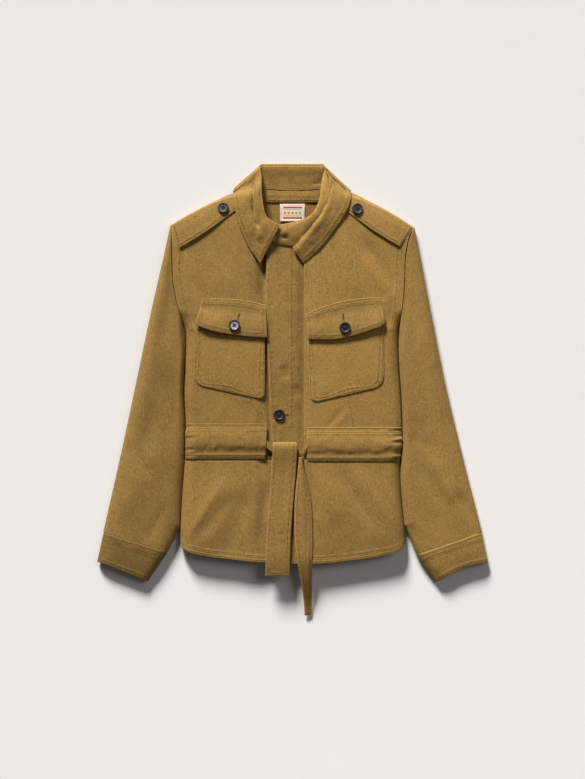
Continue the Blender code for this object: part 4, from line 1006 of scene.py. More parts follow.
ACROSS_TOP = (1 - np.cos(np.linspace(0, math.pi, 46))) / 2
ACROSS_UNDER = (1 + np.cos(np.linspace(0, math.pi, 32)[1:-1])) / 2


def tube_ring(x, y, top, long):
    """A closed ring: an upper half of given height, and a lower half that rests on the surface."""
    count = len(ACROSS_TOP)
    under = FOLD_Z * (1 - roll(ACROSS_UNDER * long, 9) * roll((1 - ACROSS_UNDER) * long, 9))
    flat = ease(ACROSS_UNDER * long, 9, 24) * ease((1 - ACROSS_UNDER) * long, 9, 24)
    under = under + flat * np.maximum(creases(UNDER_CREASES, x[count:], y[count:]), 0)
    return np.column_stack([x, y, np.concatenate([top, under])])


def sleeve(side, look):
    """Sleeve from the armhole seam to the cuff seam, one open tube."""
    across = np.concatenate([ACROSS_TOP, ACROSS_UNDER])
    count = len(ACROSS_TOP)
    grid = []
    for share in np.concatenate([[0, 0.0012, 0.004, 0.008], np.linspace(0.0125, 0.998, 150), [0.9994]]):
        x, y = sleeve_plan(side, share, across)
        top = sleeve_height(side, share, ACROSS_TOP, x[:count], y[:count])
        long = math.hypot(x[count - 1] - x[0], y[count - 1] - y[0])
        grid.append(tube_ring(x, y, top, long))
    return cloth(f"sleeve_{side}", grid, CLOTH, look, closed=True, flip=side == "right", round_by=0.1)


def cuff(side, look):
    """Cuff: a short open tube, a little prouder than the sleeve that it is sewn to."""
    column = 0 if side == "right" else 1
    outer_seam, inner_seam, outer_mouth, inner_mouth, bow = CUFFS[side]
    across = np.concatenate([ACROSS_TOP, ACROSS_UNDER])
    count = len(ACROSS_TOP)
    grid, depths = [], []
    for share in np.concatenate([[0, 0.012, 0.03], np.linspace(0.06, 0.988, 22), [1.0]]):
        y_outer = outer_seam - 0.1 + share * (outer_mouth - outer_seam + 0.1)
        y_inner = inner_seam - 0.1 + share * (inner_mouth - inner_seam + 0.1)
        x_outer = float(smooth_through(SLEEVE_EDGE, y_outer)[column])
        x_inner = float(smooth_through(SLEEVE_INSIDE, y_inner)[column])
        x = x_outer + across * (x_inner - x_outer)
        y = y_outer + across * (y_inner - y_outer) + share * bow * np.sin(across * math.pi)
        x = signed(side) * x
        long = math.hypot(x_outer - x_inner, y_outer - y_inner)
        loft = 19.0 + 1.0 * math.sin(math.pi * share) - 4.0 * share
        inside = ACROSS_TOP * long, (1 - ACROSS_TOP) * long
        top = FOLD_Z + (loft - FOLD_Z) * roll(inside[0], 34 - 8 * share) * roll(inside[1], 24 - 2 * share)
        keep = ease(inside[0], 0, 14) * ease(inside[1], 0, 12)
        depth = share * 52.0
        sewn = 0.7 * ease(depth, 0, 1.2) - 0.3 * np.exp(-(((depth - 5.5) / 1.6) ** 2))
        sewn = sewn - 0.3 * np.exp(-(((depth - 11.5) / 1.6) ** 2)) * (1 - 0.3 * ease(depth, 12, 14))
        soft = creases(CUFF_CREASES, x[:count], y[:count]) + 0.3 * noise(x[:count], y[:count], 16, 22, 41)
        top = top + keep * (sewn + soft * ease(depth, 0, 6))
        grid.append(tube_ring(x, y, top, long))
        depths.append(np.full(len(across), depth))
    lines = [np.array(depths) - 5.5, np.array(depths) - 11.5, np.array(depths) - 48.0]
    return cloth(f"cuff_{side}", grid, CUFF_CLOTH, look, closed=True, flip=side == "right", sewn=lines)


# Collar


def stand_sections():
    """Sections of the stand's outer face, each from the edge of the neck hole to the seam."""
    sections = [np.reshape(row, (2, 3)).astype(float) for row in STAND_FRONT_RIGHT]
    corner = COLLAR_CORNER_Y - 3.0
    sections.append(np.array([(-57.0, corner - 1.6, STAND_FOLD_Z), (-66.5, 676, STAND_FOLD_Z - 1)]))
    for x in np.linspace(-51, 49.5, 9):
        wide = x * 1.12
        seam = np.array([wide, BACK_SEAM_Y + 0.7 + (NECK_Y - BACK_SEAM_Y) * (wide / NECK_X) ** 2, NECK_RAISE])
        sections.append(np.array([(x, corner + 2.6, STAND_BACK_Z), seam]))
    sections.append(np.array([(55.5, corner, STAND_FOLD_Z), (67.5, 676, STAND_FOLD_Z - 1)]))
    sections += [np.reshape(row, (2, 3)).astype(float) for row in STAND_FRONT_LEFT]
    return sections


def collar_stand(look):
    """Band round the neck. In front it stands up to the neck hole; behind, its inner face looks up."""
    shares = np.array([0, 0.12, 0.38, 0.68, 1])
    fronts = len(STAND_FRONT_RIGHT), len(STAND_FRONT_LEFT)
    sections = stand_sections()
    grid = []
    for index, (hole, seam) in enumerate(sections):
        from_end = min(index, len(sections) - 1 - index)
        in_front = index < fronts[0] or index >= len(sections) - fronts[1]
        crown = STAND_CROWN if in_front else 0.0
        line = hole + shares[:, None] * (seam - hole)
        line[:, 2] += crown * np.sin(np.pi * shares) - (1.4 if in_front and from_end else 0.6) * (shares == 0)
        if not in_front:
            line[:, 2] += 1.7 * (1 - ease(shares, 0, 0.6))
        grid.append(line)
    grid = refine(grid, SMALL_STEP)
    x, y = grid[..., 0], grid[..., 1]
    stud = np.exp(-(((x + 12) ** 2 + (y - 579) ** 2) / 5.5**2))
    under_stud = np.exp(-(((x + 14) / 7) ** 2 + ((y - 568) / 3.4) ** 2))
    notch = np.exp(-(((x + 4.4) / 1.6) ** 2)) * ease(y, 584, 590)
    front = grid[..., 2] > 20
    grid[..., 2] += (2.2 * stud - 2.6 * under_stud - 1.2 * notch) * front + 0.25 * noise(x, y, 9, 9, 51)
    dents = np.exp(-(((x - 49) / 4) ** 2 + ((y - 668) / 5) ** 2)) + np.exp(-(((x - 42) / 7) ** 2 + ((y - 664) / 2) ** 2))
    grid[..., 2] -= 1.3 * dents * (grid[..., 2] < 20)
    return cloth("collar_stand", grid, COLLAR_CLOTH, look, flip=True)


def end_distance(grid):
    """Distance of each point of a grid from its first or last row, along the cloth."""
    along = np.linalg.norm(np.diff(grid, axis=0), axis=-1)
    from_first = np.pad(np.cumsum(along, axis=0), ((1, 0), (0, 0)))
    return np.minimum(from_first, from_first[-1:] - from_first)


def leaf_silhouette(x, y, side):
    """Distance of a place inside the line where the leaf turns round the shoulder."""
    x0, y0, x1, y1 = LEAF_CORNER[side]
    long = math.hypot(x1 - x0, y1 - y0)
    across = ((x - x0) * (y1 - y0) - (y - y0) * (x1 - x0)) / long
    return np.maximum(-across if side == "right" else across, 0)


def leaf_section(row, side):
    """Section over the front: neck edge, roll, crease, and out to the leaf's edge."""
    neck_x, neck_y, neck_z, crease_x, crease_y, crease_lift, outer_x, outer_y, outer_lift = row
    x = np.interp([0, 0.45, 1], [0, 1], [neck_x, crease_x])
    y = np.interp([0, 0.45, 1], [0, 1], [neck_y, crease_y])
    out = np.array([0.3, 0.62, 0.9, 1])
    x = np.append(x, crease_x + out * (outer_x - crease_x))
    y = np.append(y, crease_y + out * (outer_y - crease_y))
    lift = outer_lift + (crease_lift - outer_lift) * (1 - out) ** 1.45 + LEAF_CROWN * np.sin(np.pi * out)
    height = front_height(x, y)
    slope = (front_height(x, y - 0.6) - front_height(x, y + 0.6)) / 1.2
    steep = np.sqrt(1 + np.clip(slope, 0, 1.6) ** 2)
    height[2] += crease_lift * steep[2]
    height[3:] += lift * steep[3:]
    height[0] = neck_z
    height[1] = max(0.5 * (neck_z + height[2]), height[2]) + 1.4
    turned = roll(leaf_silhouette(x, y, side), 16)
    turned[:2] = 1
    return np.column_stack([x, y, LEAF_FOLD_Z + (height - LEAF_FOLD_Z) * turned])


def leaf_turn_sections(side):
    """Sections round the fold over the shoulder: one above it, the fold itself, and two below it."""
    x0, y0, x1, y1 = LEAF_CORNER[side]
    along = np.array([0.02, 0.06, 0.14, 0.4, 0.68, 0.94, 1])
    base = np.column_stack([x0 + along * (x1 - x0), y0 + along * (y1 - y0)])
    inward = np.array([y1 - y0, x0 - x1]) / math.hypot(x1 - x0, y1 - y0)
    inward = inward * (-1 if side == "right" else 1)
    down_edge = np.array([0, -1.0]) / abs(inward[1])
    towards_edge = ease(along, 0.4, 1)[:, None]
    inward = inward + towards_edge * (down_edge - inward)
    made = []
    plan = base + 3.0 * inward
    height = LEAF_FOLD_Z + (front_height(plan[:, 0], plan[:, 1]) + 8.4 - LEAF_FOLD_Z) * roll(3.0, 16)
    height = height + 2.0 * (1 - ease(along, 0.1, 0.5))
    above = np.column_stack([plan, height])
    above[:2] = LEAF_NECK_TURN[side]
    made.append(above)
    fold = np.column_stack([base, np.full(len(along), LEAF_FOLD_Z)])
    fold[0] = (x0 - signed(side) * 0.5, y0 - 3.4, 8.4)
    fold[1] = (x0, y0 - 0.6, 7.6)
    made.append(fold)
    for depth, height in ((2.2, 2.2), (6.5, 0.2)):
        plan = base + depth * inward
        below = np.column_stack([plan, np.full(len(along), height)])
        inner_x = x0 - signed(side) * depth * 0.5
        below[0] = (inner_x, COLLAR_TOP_Y - 4.0, 7.3)
        below[1] = (inner_x, COLLAR_TOP_Y - 1.2, 6.6)
        below[2] = (inner_x, COLLAR_TOP_Y - 0.8, 4.0)
        made.append(below)
    return made if side == "right" else made[::-1]


def collar_leaf(look):
    """Turned-down leaf: over the fronts on both sides, round the shoulders, and flat under the back."""
    grid = [leaf_section(row, "right") for row in LEAF_FRONT_RIGHT]
    grid += leaf_turn_sections("right")
    for x in np.linspace(-47, 45.5, 7):
        wide = x * (1 + 0.5 * (abs(x) / 50) ** 2)
        outer_y = LEAF_BACK_Y + 7 * (x / 50) ** 2
        section = [(x, COLLAR_TOP_Y - 4.0, 7.3), (x, COLLAR_TOP_Y - 1.0, 6.6), (x, COLLAR_TOP_Y, 4.0)]
        section += [(x, COLLAR_TOP_Y - 4, 0.5), (x, COLLAR_TOP_Y - 14, 0.0)]
        section += [(0.3 * x + 0.7 * wide, outer_y + 18, 0.0), (wide, outer_y, 0.0)]
        grid.append(np.array(section))
    grid += leaf_turn_sections("left")
    grid += [leaf_section(row, "left") for row in LEAF_FRONT_LEFT]
    grid = refine(grid, LEAF_STEP)
    x, y = grid[..., 0], grid[..., 1]
    over = ease(grid[..., 2], 14, 20)
    soft = 0.3 * noise(x, y, 12, 18, 61) + 0.2 * noise(x, y, 6, 8, 62)
    edge = np.cumsum(np.linalg.norm(np.diff(grid[:, ::-1], axis=1), axis=-1), axis=1)
    edge = np.concatenate([np.zeros((len(grid), 1)), edge], axis=1)[:, ::-1]
    line = -0.12 * np.exp(-(((edge - 5.0) / 1.5) ** 2))
    grid[..., 2] = np.maximum(grid[..., 2], 0) + over * (creases(LEAF_CREASES, x, y) + soft + line)
    sewn = [np.minimum(edge, end_distance(grid)) - 5.0]
    return cloth("collar_leaf", grid, COLLAR_CLOTH, look, flip=True, round_by=0.4, sewn=sewn)


def neck_facing(look):
    """Band of cloth below the collar seam, on the inner face of the back."""
    x = np.linspace(-52, 47, 6)
    grid = []
    for y, lift in ((630.5, 0.3), (636, 1.0), (644, 1.4), (649, 0.5)):
        inner = back_height(x, np.full_like(x, y)) + CLOTH
        grid.append(np.column_stack([x, np.full_like(x, y), inner + LAY_GAP + 1.1 + lift]))
    grid = refine(grid, SMALL_STEP)
    grid[..., 2] += 0.3 * noise(grid[..., 0], grid[..., 1], 8, 7, 71)
    return cloth("neck_facing", grid, 1.1, look, sewn=[grid[..., 1] - 633.0])


def neck_label(look):
    """Woven label on the inner back, its lower edge loose."""
    x = np.linspace(-21.5, 21.5, 5)
    grid = []
    for y, lift in ((597.5, 2.2), (603, 1.4), (612, 0.8), (621, 0.4), (627.5, 0.2)):
        bend = 0.5 * np.cos(x / 21.5 * math.pi / 2) * (lift / 2.2)
        inner = back_height(x, np.full_like(x, y)) + CLOTH
        grid.append(np.column_stack([x, np.full_like(x, y), inner + LAY_GAP + 1.0 + lift + bend]))
    made = cloth("neck_label", refine(grid, SMALL_STEP), 1.0, look)
    return made


# Pieces sewn on the fronts


def rounded_outline(corners, count=9):
    """Corners with their roundings as a closed line."""
    line = []
    for index, (x, y, radius) in enumerate(corners):
        here = np.array([x, y])
        before = np.array(corners[index - 1][:2]) - here
        after = np.array(corners[(index + 1) % len(corners)][:2]) - here
        before, after = before / np.linalg.norm(before), after / np.linalg.norm(after)
        for t in np.linspace(0, 1, count if radius > 5 else 3):
            start, end = here + radius * before, here + radius * after
            line.append((1 - t) ** 2 * start + 2 * t * (1 - t) * here + t * t * end)
    return np.array(line)


def patch_pocket(side, look):
    """Patch pocket with rounded lower corners, a little full in the middle."""
    corners = rounded_outline(POCKETS[side])
    middle = corners.mean(0)
    outline = []
    for here, after in zip(corners, np.roll(corners, -1, axis=0)):
        for t in steps(0, 1, 2.5 / max(np.linalg.norm(after - here), 1e-6))[:-1]:
            outline.append(here + t * (after - here))
    outline = np.array(outline)
    long = np.cumsum(np.linalg.norm(np.diff(outline, axis=0, append=outline[:1]), axis=1))
    reach = np.linalg.norm(outline - middle, axis=1)
    fullness = [(0.12, 1.2), (0.45, 1.1), (0.75, 0.7), (0.955, 0.15), (1.0, 0.0)]
    grid, depths = [], []
    for share in np.concatenate([[1, 0.99, 0.975, 0.955, 0.93, 0.905, 0.88, 0.85], np.linspace(0.82, 0.05, 20)]):
        plan = middle + share * (outline - middle)
        depth = (1 - share) * reach
        lift = POCKET_CLOTH + 0.3 + smooth_through(fullness, share)[0]
        sewn = 0.15 * (1 - ease(depth, 3, 9)) - 0.2 * np.exp(-(((depth - 8.5) / 1.7) ** 2))
        puckers = 0.15 * noise(long, 0 * long, 7, 7, 81) * np.exp(-((depth / 14) ** 2))
        soft = 0.3 * noise(plan[:, 0], plan[:, 1], 18, 30, 82) * ease(depth, 4, 14)
        row = on_cover(plan[:, 0], plan[:, 1], lift + sewn + puckers + soft)
        row[:, 2] += front_detail(plan[:, 0], plan[:, 1])
        grid.append(row)
        depths.append(depth)
    grid, depths = np.array(grid), np.array(depths)
    turn = np.cross(grid[0, 1] - grid[0, 0], grid[1, 0] - grid[0, 0])[2]
    if turn < 0:
        grid, depths = grid[:, ::-1], depths[:, ::-1]
    lines, node = [depths - 8.5, depths - 2.0], f"pocket_{side}"
    return cloth(node, grid, POCKET_CLOTH, look, closed=True, capped=True, sewn=lines)


def pocket_flap(side, look):
    """Flap sewn along its top over the pocket, its outer corner standing clear."""
    table = np.array(FLAPS[side])
    grid = []
    for share in (0, 0.12, 0.32, 0.55, 0.78, 1):
        plan = table[:, :2] + share * (table[:, 2:4] - table[:, :2])
        lift = 1.2 + 1.2 * ease(share, 0, 0.2)
        over = (POCKET_CLOTH + LAY_GAP + 1.7) * ease(share, 0.3, 0.72)
        lift = lift + over + table[:, 4] * ease(share, 0.35, 1) + 0.8 * math.sin(math.pi * share)
        grid.append(on_cover(plan[:, 0], plan[:, 1], lift))
    grid = refine(grid, SMALL_STEP)
    x, y = grid[..., 0], grid[..., 1]
    border = border_distance(grid)
    grid[..., 2] += front_detail(x, y) + 0.25 * noise(x, y, 12, 16, 91)
    grid[..., 2] -= 0.15 * np.exp(-(((border - 5.5) / 1.5) ** 2))
    down = np.pad(np.cumsum(np.linalg.norm(np.diff(grid, axis=0), axis=-1), axis=0), ((1, 0), (0, 0)))
    lines, node = [border_distance(grid, top=False) - 5.5, down - 2.0, down - 7.5], f"flap_{side}"
    return cloth(node, grid, FLAP_CLOTH, look, flip=True, round_by=0.4, sewn=lines)


def border_distance(grid, top=True):
    """Distance of each point of an open grid from its nearest edge, or from all but the first row."""
    across = np.linalg.norm(np.diff(grid, axis=1), axis=-1)
    along = np.linalg.norm(np.diff(grid, axis=0), axis=-1)
    from_left = np.pad(np.cumsum(across, axis=1), ((0, 0), (1, 0)))
    from_first = np.pad(np.cumsum(along, axis=0), ((1, 0), (0, 0)))
    from_right = from_left[:, -1:] - from_left
    from_last = from_first[-1:] - from_first
    sides = np.minimum(np.minimum(from_left, from_right), from_last)
    return np.minimum(sides, from_first) if top else sides


def shoulder_strap(side, look):
    """Strap from the armhole seam to under the collar, its top edge turned over the shoulder fold."""
    outer_top, outer_bottom, inner_bottom, inner_top = (np.array(c) for c in STRAPS[side])
    across = np.concatenate([[0, 0.015], np.linspace(0, 1, 26)[1:-1] ** 1.3, [0.985, 1]])
    grid = []
    for along in np.concatenate([[0, 0.005], np.linspace(0.02, 0.98, 56), [0.995, 1]]):
        top = outer_top + along * (inner_top - outer_top)
        bottom = outer_bottom + along * (inner_bottom - outer_bottom)
        bottom = bottom - np.array([0, 3.0 * math.sin(math.pi * along)])
        x, y = (top + across[:, None] * (bottom - top)).T
        stand = 1.6 * ease(across, 0.45, 1) * (1 - ease(along, 0.45, 0.85))
        grid.append(on_front(x, y, STRAP_CLOTH + 0.3 + stand))
    grid = np.array(grid)
    x, y = grid[..., 0], grid[..., 1]
    border = border_distance(grid)
    grid[..., 2] += front_detail(x, y) + 0.25 * noise(x, y, 14, 10, 95) * ease(border, 0, 6)
    grid[..., 2] -= 0.3 * np.exp(-(((border - 4.0) / 1.4) ** 2))
    node = f"strap_{side}"
    lines = [border_distance(grid, top=False) - 4.0]
    return cloth(node, grid, STRAP_CLOTH, look, flip=side == "left", round_by=0.4, sewn=lines)


def casing_rise(share, x, seed):
    """Height of the belt tunnel over the front: sewn flat above, full with the belt, gathered in, flat below."""
    profile = [(0, 0.0), (0.1, 0.1), (0.2, 1.0), (0.42, 3.0), (0.57, 3.2), (0.66, 2.5), (0.72, 1.5), (0.77, 0.7)]
    profile += [(0.82, 0.45), (0.88, 0.7), (1, 0.1)]
    pull = 0.05 * noise(x, 0 * x, 17, 10, seed) + 0.025 * noise(x, 0 * x, 6, 10, seed + 1)
    rise = smooth_through(profile, share + pull * np.exp(-(((share - 0.68) / 0.12) ** 2)))[..., 0]
    lower = np.exp(-(((share - 0.66) / 0.13) ** 2))
    gathers = (0.6 * noise(x, share * 60 + 0 * x, 7.0, 26, seed + 2) + 0.3 * noise(x, 0 * x, 3.4, 20, seed + 3)) * lower
    ends = ease(np.abs(x), 158, 186)
    side_gathers = 1.5 * noise(share * 62 + 0.12 * x, x, 5.0, 20, seed + 4) * ends
    upper = 0.5 * noise(x, share * 60 + 0 * x, 17, 12, seed + 5) * ease(share, 0.14, 0.3) * (1 - ease(share, 0.6, 0.7))
    stitched = -0.15 * np.exp(-(((share - 0.03) / 0.02) ** 2)) - 0.2 * np.exp(-(((share - 0.135) / 0.022) ** 2))
    return rise * (1 - 0.3 * ease(np.abs(x), 170, 188)) + gathers + side_gathers + upper + stitched


def casing(side, look):
    """Tunnel that the belt runs through, from the side seam to its open end beside the placket."""
    top_y, seam_y, end_top, end_bottom = CASINGS[side]
    grid, shares = [], []
    for share in np.concatenate([[1, 0.99], np.linspace(0.972, 0.028, 34), [0.01, 0]]):
        y = top_y + share * (seam_y - top_y)
        start = end_top + share * (end_bottom - end_top)
        outer = signed(side) * (float(body_edge(y, side)) - 3.0)
        x = spread((outer, 0), (start, 0), (0, 0.6, 2, 4, 6, 8, 10), 68)[:, 0]
        rise = np.maximum(casing_rise(share, x, 101 if side == "right" else 111), -0.4)
        full = 1.4 * ease(share, 0.02, 0.2) * (1 - ease(share, 0.85, 0.98))
        row = on_front(x, np.full_like(x, y), CASING_CLOTH + 0.2 + full + rise)
        row[:, 2] += front_detail(x, y + 0 * x)
        grid.append(row)
        shares.append(np.full(len(x), share))
    down = np.array(shares) * (top_y - seam_y)
    lines, node = [down - 1.8, down - 8.8, down - 56.0], f"casing_{side}"
    return cloth(node, grid, CASING_CLOTH, look, flip=side == "left", round_by=0.4, sewn=lines)


# Belt


def frames_along(path, widths, tilts):
    """Sections across a strap: each a width across the path, tilted about it."""
    path = np.asarray(path, float)
    ahead = np.gradient(path, axis=0)
    ahead /= np.linalg.norm(ahead, axis=1, keepdims=True)
    made = []
    for point, way, width, tilt in zip(path, ahead, widths, tilts):
        side = np.cross(way, (0, 0, 1.0))
        side /= np.linalg.norm(side)
        up = np.cross(side, way)
        across = side * math.cos(tilt) + up * math.sin(tilt)
        made.append((point, across, np.cross(across, way), width))
    return made


def belt_ridges(grid):
    """Rows of stitching and soft creases along a belt's end."""
    x, y = grid[..., 0], grid[..., 1]
    border = border_distance(grid)
    grid[..., 2] += creases(BELT_CREASES, x, y) + 0.2 * noise(x, y, 8, 26, 121) * ease(border, 0, 5)
    grid[..., 2] -= 0.25 * np.exp(-(((border - 4.5) / 1.4) ** 2))
    return grid


def belt_wide(look):
    """Wide end: up behind the tie, over its top, and down the front past the hem."""
    #     y, lift over the placket's face, x of the middle
    rows = [(205.0, 3.2, -14.0), (207.6, 5.2, -13.6), (209.0, 7.6, -13.3), (207.4, 10.4, -13.1)]
    rows += [(201, 11.6, -13.1), (191, 11.2, -13.4), (177, 9.4, -14.2), (158, 7.6, -15.4), (132, 6.6, -17.6)]
    rows += [(104, 6.0, -20.0), (72, 5.6, -22.4), (40, 5.4, -24.4), (8, 5.2, -25.4), (-8, 3.6, -25.6)]
    rows += [(-22.5, 0.6, -26.0)]
    grid = []
    for index, (y, lift, x) in enumerate(rows):
        height = float(front_height(-20.0, max(y, 0.0))) + lift
        width = BELT_WIDTH - 8 * (index < 2) - 3 * (index == 2)
        across = np.linspace(-0.5, 0.5, 6)
        arch = 0.8 * (1 - (2 * across) ** 2) * (index > 3)
        grid.append(np.column_stack([x + across * width, np.full(6, y), height + arch]))
    grid = belt_ridges(refine(grid, SMALL_STEP))
    lines = [border_distance(grid, top=False) - 4.5]
    return cloth("belt_wide", grid, BELT_CLOTH, look, round_by=0.4, sewn=lines)


def belt_narrow(look):
    """Narrow end: down from the tie, half turned on itself, past the hem to the surface."""
    #     x, y, height, width, tilt, hollow
    rows = [
        (13.6, 184.0, 31.0, 6.5, 0.0, 1.2),
        (14.0, 176.0, 31.6, 7.5, 0.1, 1.6),
        (15.0, 160.0, 31.6, 12.0, 0.12, 2.2),
        (16.6, 138.0, 31.4, 19.5, 0.14, 2.2),
        (18.0, 112.0, 31.4, 26.5, 0.14, 1.6),
        (18.8, 86.0, 31.6, 30.0, 0.12, 1.2),
        (19.4, 54.0, 31.6, 30.5, 0.1, 1.0),
        (20.6, 26.0, 31.2, 28.5, 0.1, 1.0),
        (22.0, 2.0, 29.6, 25.0, 0.14, 1.2),
        (24.2, -24.0, 23.6, 20.5, 0.2, 1.4),
        (26.2, -50.0, 15.0, 16.5, 0.26, 1.4),
        (27.2, -73.0, 8.2, 13.0, 0.24, 1.0),
        (27.4, -91.8, 4.6, 11.0, 0.16, 0.6),
    ]
    table = np.array(rows)
    shares = np.array([-0.5, -0.42, -0.2, 0, 0.2, 0.42, 0.5])
    grid = []
    for (middle, across, up, width), hollow in zip(frames_along(table[:, :3], table[:, 3], table[:, 4]), table[:, 5]):
        arch = hollow * (1 - (2 * shares) ** 2)
        grid.append(middle + np.outer(shares * width, across) + np.outer(arch, up))
    grid = belt_ridges(refine(grid, SMALL_STEP))
    lines = [border_distance(grid, top=False) - 4.5]
    return cloth("belt_narrow", grid, BELT_CLOTH, look, round_by=0.4, sewn=lines)


def belt_bunch(node, rows, look):
    """A stretch of belt drawn together small: a closed tube with pleats along it."""
    #     x, y, lift over the front, half width across, half height
    grid = []
    for x, y, lift, wide, high in rows:
        turn = np.linspace(0, 2 * math.pi, 13)[:-1]
        height = float(front_height(x, y)) + lift
        grid.append(np.column_stack([np.full(12, x), y + wide * np.cos(turn), height + high * np.sin(turn)]))
    grid = refine(grid, 1.2, closed=True, support=0)
    middle = grid.mean(axis=1, keepdims=True)
    turn = np.arctan2(grid[..., 2] - middle[..., 2], grid[..., 1] - middle[..., 1])
    pleats = 0.1 * np.sin(turn * 7 + 1.5 * noise(grid[..., 0], 0 * turn, 9, 9, 131))
    grid = middle + (grid - middle) * (1 + pleats)[..., None]
    count = grid.shape[1]
    index = np.arange(grid.shape[0] * count).reshape(-1, count)
    around = np.column_stack([index, index[:, 0]])
    quads = np.stack([around[:-1, :-1], around[:-1, 1:], around[1:, 1:], around[1:, :-1]], -1).reshape(-1, 4)
    faces = quads.tolist() + [index[0].tolist()[::-1], index[-1].tolist()]
    made = new_object("cloth_" + node, grid.reshape(-1, 3), faces, look)
    turn_outwards(made)
    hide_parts(node)
    return made


def turn_outwards(made):
    """Turns a closed mesh's faces to look outwards."""
    mesh = made.data
    volume = 0.0
    for face in mesh.polygons:
        corners = [mesh.vertices[i].co for i in face.vertices]
        for second, third in zip(corners[1:], corners[2:]):
            volume += corners[0].dot(second.cross(third))
    if volume < 0:
        mesh.flip_normals()


BELT_BUNCHES = {
    "belt_run_right": [
        (-57, 216, 2.6, 6.0, 1.5),
        (-50, 211, 2.8, 6.5, 1.6),
        (-43, 204.5, 3.6, 7.0, 1.8),
        (-37, 200.0, 4.2, 6.0, 1.8),
        (-33.6, 198.6, 4.4, 5.0, 1.7),
    ],
    "belt_run_left": [
        (38, 209, 2.8, 4.0, 1.4),
        (31, 207, 2.9, 4.5, 1.5),
        (25, 201.5, 3.6, 6.5, 1.8),
        (20.5, 194.5, 4.2, 6.0, 1.8),
        (17.6, 191.6, 4.4, 5.0, 1.7),
    ],
    "belt_tie": [
        (-33.2, 197.8, 4.2, 3.6, 1.6),
        (-26, 197.2, 4.2, 4.4, 2.0),
        (-14, 196.8, 4.2, 4.6, 2.2),
        (0, 195.6, 4.2, 5.0, 2.2),
        (9, 192.4, 4.4, 6.0, 2.3),
        (14, 190.4, 4.6, 5.0, 2.2),
        (17.2, 189.8, 4.6, 3.6, 1.6),
    ],
}


# Materials


def node_tree(name):
    made = bpy.data.materials.new(name)
    made.use_nodes = True
    return made, made.node_tree, made.node_tree.nodes["Principled BSDF"]


def noise_node(tree, vector, scale, detail=3.0, roughness=0.55):
    mapping = tree.nodes.new("ShaderNodeMapping")
    mapping.inputs["Scale"].default_value = scale
    tree.links.new(vector, mapping.inputs["Vector"])
    made = tree.nodes.new("ShaderNodeTexNoise")
    made.inputs["Scale"].default_value = 1.0
    made.inputs["Detail"].default_value = detail
    made.inputs["Roughness"].default_value = roughness
    tree.links.new(mapping.outputs["Vector"], made.inputs["Vector"])
    return made.outputs[0]


def math_node(tree, kind, first, second):
    made = tree.nodes.new("ShaderNodeMath")
    made.operation = kind
    for socket, value in zip(made.inputs, (first, second)):
        if isinstance(value, (int, float)):
            socket.default_value = value
        else:
            tree.links.new(value, socket)
    return made.outputs[0]


def ramp_node(tree, factor, stops):
    made = tree.nodes.new("ShaderNodeValToRGB")
    ramp = made.color_ramp
    while len(ramp.elements) < len(stops):
        ramp.elements.new(0.5)
    for element, (place, colour) in zip(ramp.elements, stops):
        element.position = place
        element.color = (*colour, 1)
    tree.links.new(factor, made.inputs[0])
    return made.outputs[0]


CLOTH_COLOUR = (0.286, 0.166, 0.041)


def near_line(tree, number, reach):
    """1 on a row of stitches and 0 beyond a reach from it."""
    stored = tree.nodes.new("ShaderNodeAttribute")
    stored.attribute_name = f"sewn_{number}"
    away = math_node(tree, "ABSOLUTE", stored.outputs["Fac"], 0.0)
    smooth = tree.nodes.new("ShaderNodeMapRange")
    smooth.interpolation_type = "SMOOTHSTEP"
    smooth.inputs["From Min"].default_value = 0.0
    smooth.inputs["From Max"].default_value = reach
    smooth.inputs["To Min"].default_value = 1.0
    smooth.inputs["To Max"].default_value = 0.0
    tree.links.new(away, smooth.inputs["Value"])
    return smooth.outputs["Result"]


